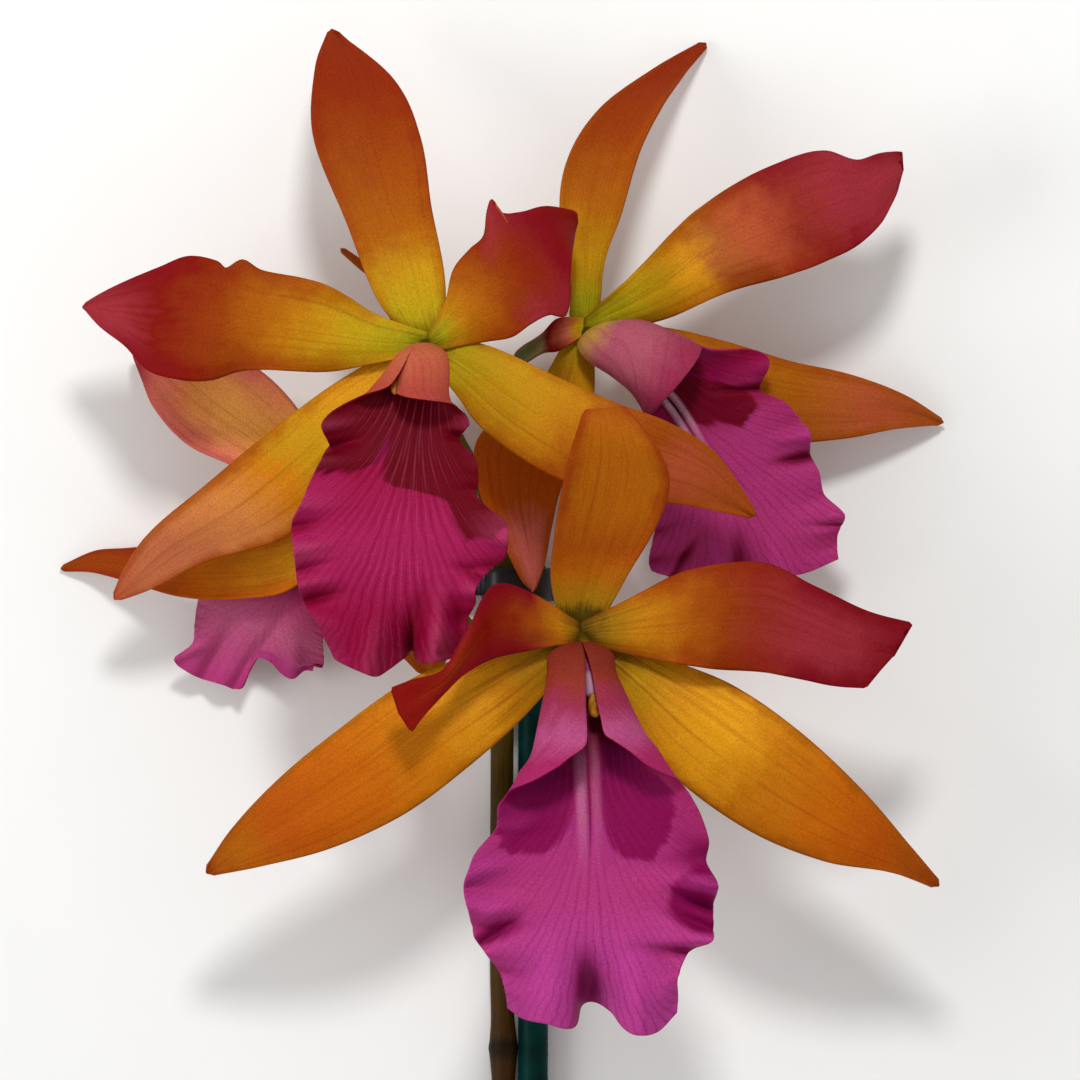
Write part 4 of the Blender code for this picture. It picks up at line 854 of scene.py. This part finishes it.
for letter, bloom in blooms.items():
    for index, (part, tepal) in enumerate(bloom["tepals"].items()):
        kind = "sepal" if part.endswith("sepal") else "petal"
        seed = index * tepalShape["seedStep"] + ord(letter)
        tepal = {**(sepalLook if kind == "sepal" else petalLook), **tepal}
        title = "orchid " + part + " " + letter
        materials = [tepalMaterial(title + ", waxy tissue", tepal, seed),
                     tepalMaterial(title + " reverse, waxy tissue", reverseLook, seed)]
        name = "bloom_" + letter + "_" + part
        piece = addSheet(name + "_blade", tepalBlade(tepal, bloom["middle"], seed), tepalShape["steps"],
                         tepalShape["wall"], materials, ("along", "across"))
        finishPiece(piece, kind, name)
    lip = bloom["lip"]
    title, look = "orchid lip " + letter, lipLooks[letter]
    materials = [lipMaterial(title + ", velvety tissue", look, lip["seed"], True),
                 lipMaterial(title + " outside, waxy tissue", look, lip["seed"], False)]
    piece = addSheet("bloom_" + letter + "_lip_blade", lipBlade(lip), lipShape["steps"], lipShape["wall"],
                     materials, lipValues)
    finishPiece(piece, "lip", "bloom_" + letter + "_lip")
    addColumn(letter, lip, columnMaterial(), antherMaterial())
    print("bloom", letter, "done")


# The stem with its four stalks, grown as one piece. Radii, lengths and heights are in mm.
stem = {"route": [(502, 1225, 3.2), (503, 1052, 3.1), (501, 971, 3.2), (502, 729, 3.8), (504, 620, 4.2),
                  (504, 575, 4.2), (504, 545, 5.0)],
        "steps": (260, 24), "radius": 2.1, "roundEnd": 0.012, "nodeY": 1052, "nodeSwell": 0.22,
        "nodeLength": 4.0, "collar": 0.1, "collarLength": 0.7, "stalkSteps": (80, 20), "stalkRadius": 1.5,
        "stalkSwell": 0.45, "stalkEnd": 0.02, "knobSteps": (28, 18), "knob": 2.9, "voxel": 0.42}


def tubeSkin(rows, radiusAt, roundEnd):
    def skin(along, turn):
        fromEnd = min(along, 1 - along) / roundEnd
        here = photoPoint(*readCurve(rows, along))
        radius = radiusAt(along, here.y) * mm * math.sqrt(max(0.0, 1 - (1 - min(fromEnd, 1.0)) ** 2))
        return ringPoint(rows, along, turn, radius)
    return skin


def stemMaterial():
    # Green plant stem, smooth and waxy, going brown and woody towards the cut and at its node
    material, add, setShader = newMaterial("orchid stem, smooth green bark")
    spot = add("TexCoord").outputs["Object"]
    drawn = add("Mapping", {"Vector": spot, "Scale": (1.0, 0.12, 1.0)})
    fibres = add("TexNoise", {"Vector": drawn, "Scale": 1 / (0.5 * mm), "Detail": 3.0, "Roughness": 0.6})
    clouds = add("TexNoise", {"Vector": spot, "Scale": 1 / (6 * mm), "Detail": 3.0})
    place = add("SeparateXYZ", {0: spot})
    node = photoPoint(0, stem["nodeY"], 0).y
    up = add("MapRange", {"Value": place.outputs[1], "From Min": node - 30 * mm, "From Max": node + 110 * mm})
    up = add("Math", {0: clouds, 1: 0.3, 2: up}, operation="MULTIPLY_ADD")
    colour = add("ValToRGB", {0: up}, "15 361C00, 40 422600, 70 463200, 95 4E4204, 100 585208")

    # The stalks are green from 8 to 24 mm up. Above 37 mm, at the top of bloom C's stalk, the dark brown is
    # painted shade in the hollow under the bloom. The node has a dark ring.
    stalk, knob = (add("MapRange", {"Value": place.outputs[2], "From Min": low * mm, "From Max": high * mm})
                   for low, high in ((8, 24), (37, 39.5)))
    off = add("Math", {0: place.outputs[1], 1: node}, operation="SUBTRACT")
    off = add("Math", {0: off}, operation="ABSOLUTE")
    ring = add("MapRange", {"Value": off, "From Min": 2.6 * mm, "From Max": 0.8 * mm, "To Max": 0.85})
    dark = add("MapRange", {"Value": fibres, "From Min": 0.55, "From Max": 0.25, "To Max": 0.6})
    colour = layOver(add, colour, (stalk, "6E7410"), (knob, "3A2C04"), (ring, "1A0C02"), (dark, "1E1604"))
    finishTissue(add, setShader, colour, fibres)
    setShader({"Roughness": 0.5, "Specular IOR Level": 0.12})
    return material


def addStem():
    shape = bmesh.new()
    rows = measured(stem["route"], stem["route"])[0]
    node = photoPoint(0, stem["nodeY"], 0).y

    def stemRadius(along, y):
        off = (y - node) / mm
        swell = stem["nodeSwell"] * math.exp(-(off / stem["nodeLength"]) ** 2)
        return stem["radius"] * (1 + swell + stem["collar"] * math.exp(-(off / stem["collarLength"]) ** 2))
    addRoll(shape, tubeSkin(rows, stemRadius, stem["roundEnd"]), stem["steps"])

    def stalkRadius(along, y):
        return stem["stalkRadius"] * (1 + stem["stalkSwell"] * along ** 2)
    around, high = stem["knobSteps"]
    for bloom in blooms.values():
        rows = measured(bloom["stalk"], bloom["stalk"])[0]
        addRoll(shape, tubeSkin(rows, stalkRadius, stem["stalkEnd"]), stem["stalkSteps"])
        knob = bmesh.ops.create_uvsphere(shape, u_segments=around, v_segments=high, radius=stem["knob"] * mm)
        bmesh.ops.translate(shape, verts=knob["verts"], vec=photoPoint(*bloom["stalk"][-1]))
    piece = addClosedPiece("flower_stem_grown", shape, stemMaterial())
    weld = piece.modifiers.new("weld", "REMESH")
    weld.mode = "VOXEL"
    weld.voxel_size = stem["voxel"] * mm
    weld.use_smooth_shade = True
    soften = piece.modifiers.new("soften", "SMOOTH")
    soften.factor = 0.5
    soften.iterations = 3
    finishPiece(piece, "stem", "flower_stem")


# The stake: a steel rod in a smooth plastic coat, with a rounded top. Heights, radius and pitch are in mm.
stake = {"footY": 1262, "topY": 560, "radius": 2.7, "clipHeight": 4.2, "ridges": 0.012, "pitch": 1.5,
         "roundEnd": 0.022, "steps": (700, 40)}


def stakeMaterial():
    # PVC coat, dipped: smooth with a soft gloss, dulled by fine scratches that run along it
    material, add, setShader = newMaterial("plant stake, PVC coated steel")
    spot = add("TexCoord").outputs["Object"]
    drawn = add("Mapping", {"Vector": spot, "Scale": (1.0, 0.05, 1.0)})
    scratches = add("TexNoise", {"Vector": drawn, "Scale": 1 / (0.35 * mm), "Detail": 4.0, "Roughness": 0.7})
    blotches = add("TexNoise", {"Vector": spot, "Scale": 1 / (5 * mm), "Detail": 4.0})
    pale = add("MapRange", {"Value": scratches, "From Min": 0.6, "From Max": 0.8, "To Max": 0.35})
    rough = add("MapRange", {"Value": scratches, "From Min": 0.3, "From Max": 0.7, "To Min": 0.34,
                             "To Max": 0.5})
    colour = add("ValToRGB", {0: blotches}, "30 00241E, 55 002E2A, 75 003A38")
    bump = add("Bump", {"Height": scratches, "Distance": 0.012 * mm})
    setShader({"Base Color": layOver(add, colour, (pale, "04322E")), "Roughness": rough, "IOR": 1.54,
               "Specular IOR Level": 0.05, "Normal": bump})
    return material


def addStake():
    foot = (photo["stakeX"], stake["footY"], stake["radius"])
    perPixel = (stake["clipHeight"] - stake["radius"]) / (stake["footY"] - photo["clipY"])
    topHeight = stake["radius"] + perPixel * (stake["footY"] - stake["topY"])
    rows = [(0.0, *foot), (1.0, photo["stakeX"], stake["topY"], topHeight)]

    def stakeRadius(along, y):
        ridge = 0.5 + 0.5 * math.cos(y / (stake["pitch"] * mm) * 2 * math.pi)
        return stake["radius"] * (1 - stake["ridges"] * ridge)
    shape = bmesh.new()
    addRoll(shape, tubeSkin(rows, stakeRadius, stake["roundEnd"]), stake["steps"])
    finishPiece(addClosedPiece("stake_rod", shape, stakeMaterial()), "stake", "stake")


# The clip: a sprung band round stem and stake, with two ribbed finger levers. Sizes are in mm.
clip = {"stemX": 504, "inner": 3.0, "wall": 1.2, "width": 6.0, "corner": 3.5, "height": 4.2,
        "bandSteps": (120, 40), "lever": (6.9, 4.0, 1.2), "leverSteps": (90, 40), "leversApart": 3.4,
        "leverRound": 0.2, "leverThin": 0.4, "ribs": 6, "ribDepth": 0.16, "ribStart": 0.3}


def clipMaterial():
    # Injection moulded nylon: faintly pebbled, with a satin sheen and paler bluish grey blotches
    material, add, setShader = newMaterial("orchid clip, moulded nylon")
    spot = add("TexCoord").outputs["Object"]
    pebble, blotches = (add("TexNoise", {"Vector": spot, "Scale": 1 / (size * mm), "Detail": detail})
                    for size, detail in ((0.25, 2.0), (3, 3.0)))
    colour = add("ValToRGB", {0: blotches}, "30 0C090D, 55 131118, 80 262A38")
    bump = add("Bump", {"Height": pebble, "Distance": 0.02 * mm})
    setShader({"Base Color": colour, "Roughness": 0.36, "IOR": 1.53, "Normal": bump})
    return material


def cornered(value):  # a sine or cosine pushed out to a rounded rectangle's side
    return math.copysign(abs(value) ** (2 / clip["corner"]), value)


def addClip():
    shape = bmesh.new()
    middleY = photoPoint(0, photo["clipY"], 0).y
    stemSide, stakeSide = (photoPoint(x, photo["clipY"], 0).x for x in (clip["stemX"], photo["stakeX"]))
    radius = (clip["inner"] + clip["wall"] / 2) * mm
    straight = stakeSide - stemSide
    loop = 2 * straight + 2 * math.pi * radius

    def loopPoint(along):  # round the stadium that holds stem and stake, and the way out from it
        run = along * loop
        top = run < loop / 2
        past = run - math.pi * radius - (0.0 if top else loop / 2)
        x = stakeSide - past if top else stemSide + past
        out = Vector((0, 0, 1 if top else -1))
        for middleX, start, first in ((stakeSide, 0.0, -math.pi / 2), (stemSide, loop / 2, math.pi / 2)):
            if start <= run <= start + math.pi * radius:
                turn = first + (run - start) / radius
                x = middleX
                out = Vector((math.cos(turn), 0, math.sin(turn)))
        return Vector((x, middleY, clip["height"] * mm)) + out * radius, out

    def bandSkin(along, turn):
        spot, out = loopPoint(along)
        high = cornered(math.sin(turn)) * clip["wall"] / 2 * mm
        wide = cornered(math.cos(turn)) * clip["width"] / 2 * mm
        return spot + out * high + Vector((0, wide, 0))
    addRoll(shape, bandSkin, clip["bandSteps"])

    length, width, thick = (size * mm for size in clip["lever"])
    for side in (-1, 1):
        def leverSkin(along, turn):
            toEnd = max(0.0, (along - 1 + clip["leverRound"]) / clip["leverRound"])
            end = math.sqrt(max(0.0, 1 - toEnd ** 2)) if along > 0 else 0.0
            rib = clip["ribDepth"] * mm * max(0.0, math.sin(clip["ribs"] * 2 * math.pi * along))
            high = cornered(math.sin(turn)) * (thick / 2 + rib * ease(along / clip["ribStart"]))
            wide = cornered(math.cos(turn)) * width / 2
            height = (clip["height"] + side * clip["leversApart"] / 2) * mm
            return Vector((stemSide - clip["inner"] * mm - length * along, middleY + wide * end,
                           height + high * end ** clip["leverThin"]))
        addRoll(shape, leverSkin, clip["leverSteps"])
    finishPiece(addClosedPiece("stake_clip_band", shape, clipMaterial()), "clip", "stake_clip")


addStem()
addStake()
addClip()
print("stem, stake and clip done")


# Floor, light and camera, in metres
studio = {"floor": 4.0, "floorSides": 96, "paper": 60.0, "world": 0.54, "aim": (0, 0, 0.03)}
lamps = {"key": {"place": (0.02, 0.45, 0.70), "size": 0.14, "power": 3.2},
         "side": {"place": (-0.75, -0.05, 0.62), "size": 0.5, "power": 2.9}}
view = {"distance": 4.0, "level": 35 * mm, "sensor": 36.0, "near": 0.1, "far": 20.0}


def addStudio():
    # Matt white paper: it gives the eye an even pale ground, faintly mottled
    shape = bmesh.new()
    bmesh.ops.create_circle(shape, cap_ends=True, segments=studio["floorSides"], radius=studio["floor"])
    material, add, setShader = newMaterial("matt white paper floor")
    fibres = add("TexNoise", {"Vector": add("TexCoord").outputs["Object"], "Scale": studio["paper"],
                              "Detail": 3.0})
    paper = add("Mix", {0: fibres, 6: "F2F2F0", 7: "EFEFED"}, data_type="RGBA")
    setShader({"Base Color": paper, "Roughness": 0.9, "Specular IOR Level": 0.1})
    addPiece("floor", shape, [material])

    world = bpy.data.worlds.new("studio")
    bpy.context.scene.world = world
    world.use_nodes = True
    background = world.node_tree.nodes["Background"]
    background.inputs[0].default_value = (1.0, 1.0, 1.0, 1.0)
    background.inputs[1].default_value = studio["world"]
    for name, lamp in lamps.items():
        data = bpy.data.lights.new(name, "AREA")
        data.shape = "DISK"
        data.size = lamp["size"]
        data.energy = lamp["power"]
        item = bpy.data.objects.new(name, data)
        item.location = lamp["place"]
        item.rotation_mode = "QUATERNION"
        item.rotation_quaternion = (Vector(studio["aim"]) - item.location).to_track_quat("-Z", "Y")
        bpy.context.scene.collection.objects.link(item)


def addCamera():
    # Straight down on the spray from far off, so that high and low blooms keep their size
    data = bpy.data.cameras.new("camera")
    data.sensor_width = view["sensor"]
    data.lens = view["sensor"] * (view["distance"] - view["level"]) / (photo["size"] * photo["pixel"])
    data.clip_start = view["near"]
    data.clip_end = view["far"]
    camera = bpy.data.objects.new("camera", data)
    camera.location = photoPoint(photo["middle"], photo["middle"], 0) + Vector((0, 0, view["distance"]))
    bpy.context.scene.collection.objects.link(camera)
    bpy.context.scene.camera = camera


addStudio()
addCamera()
bpy.context.scene.view_settings.view_transform = "Standard"
print("studio done")
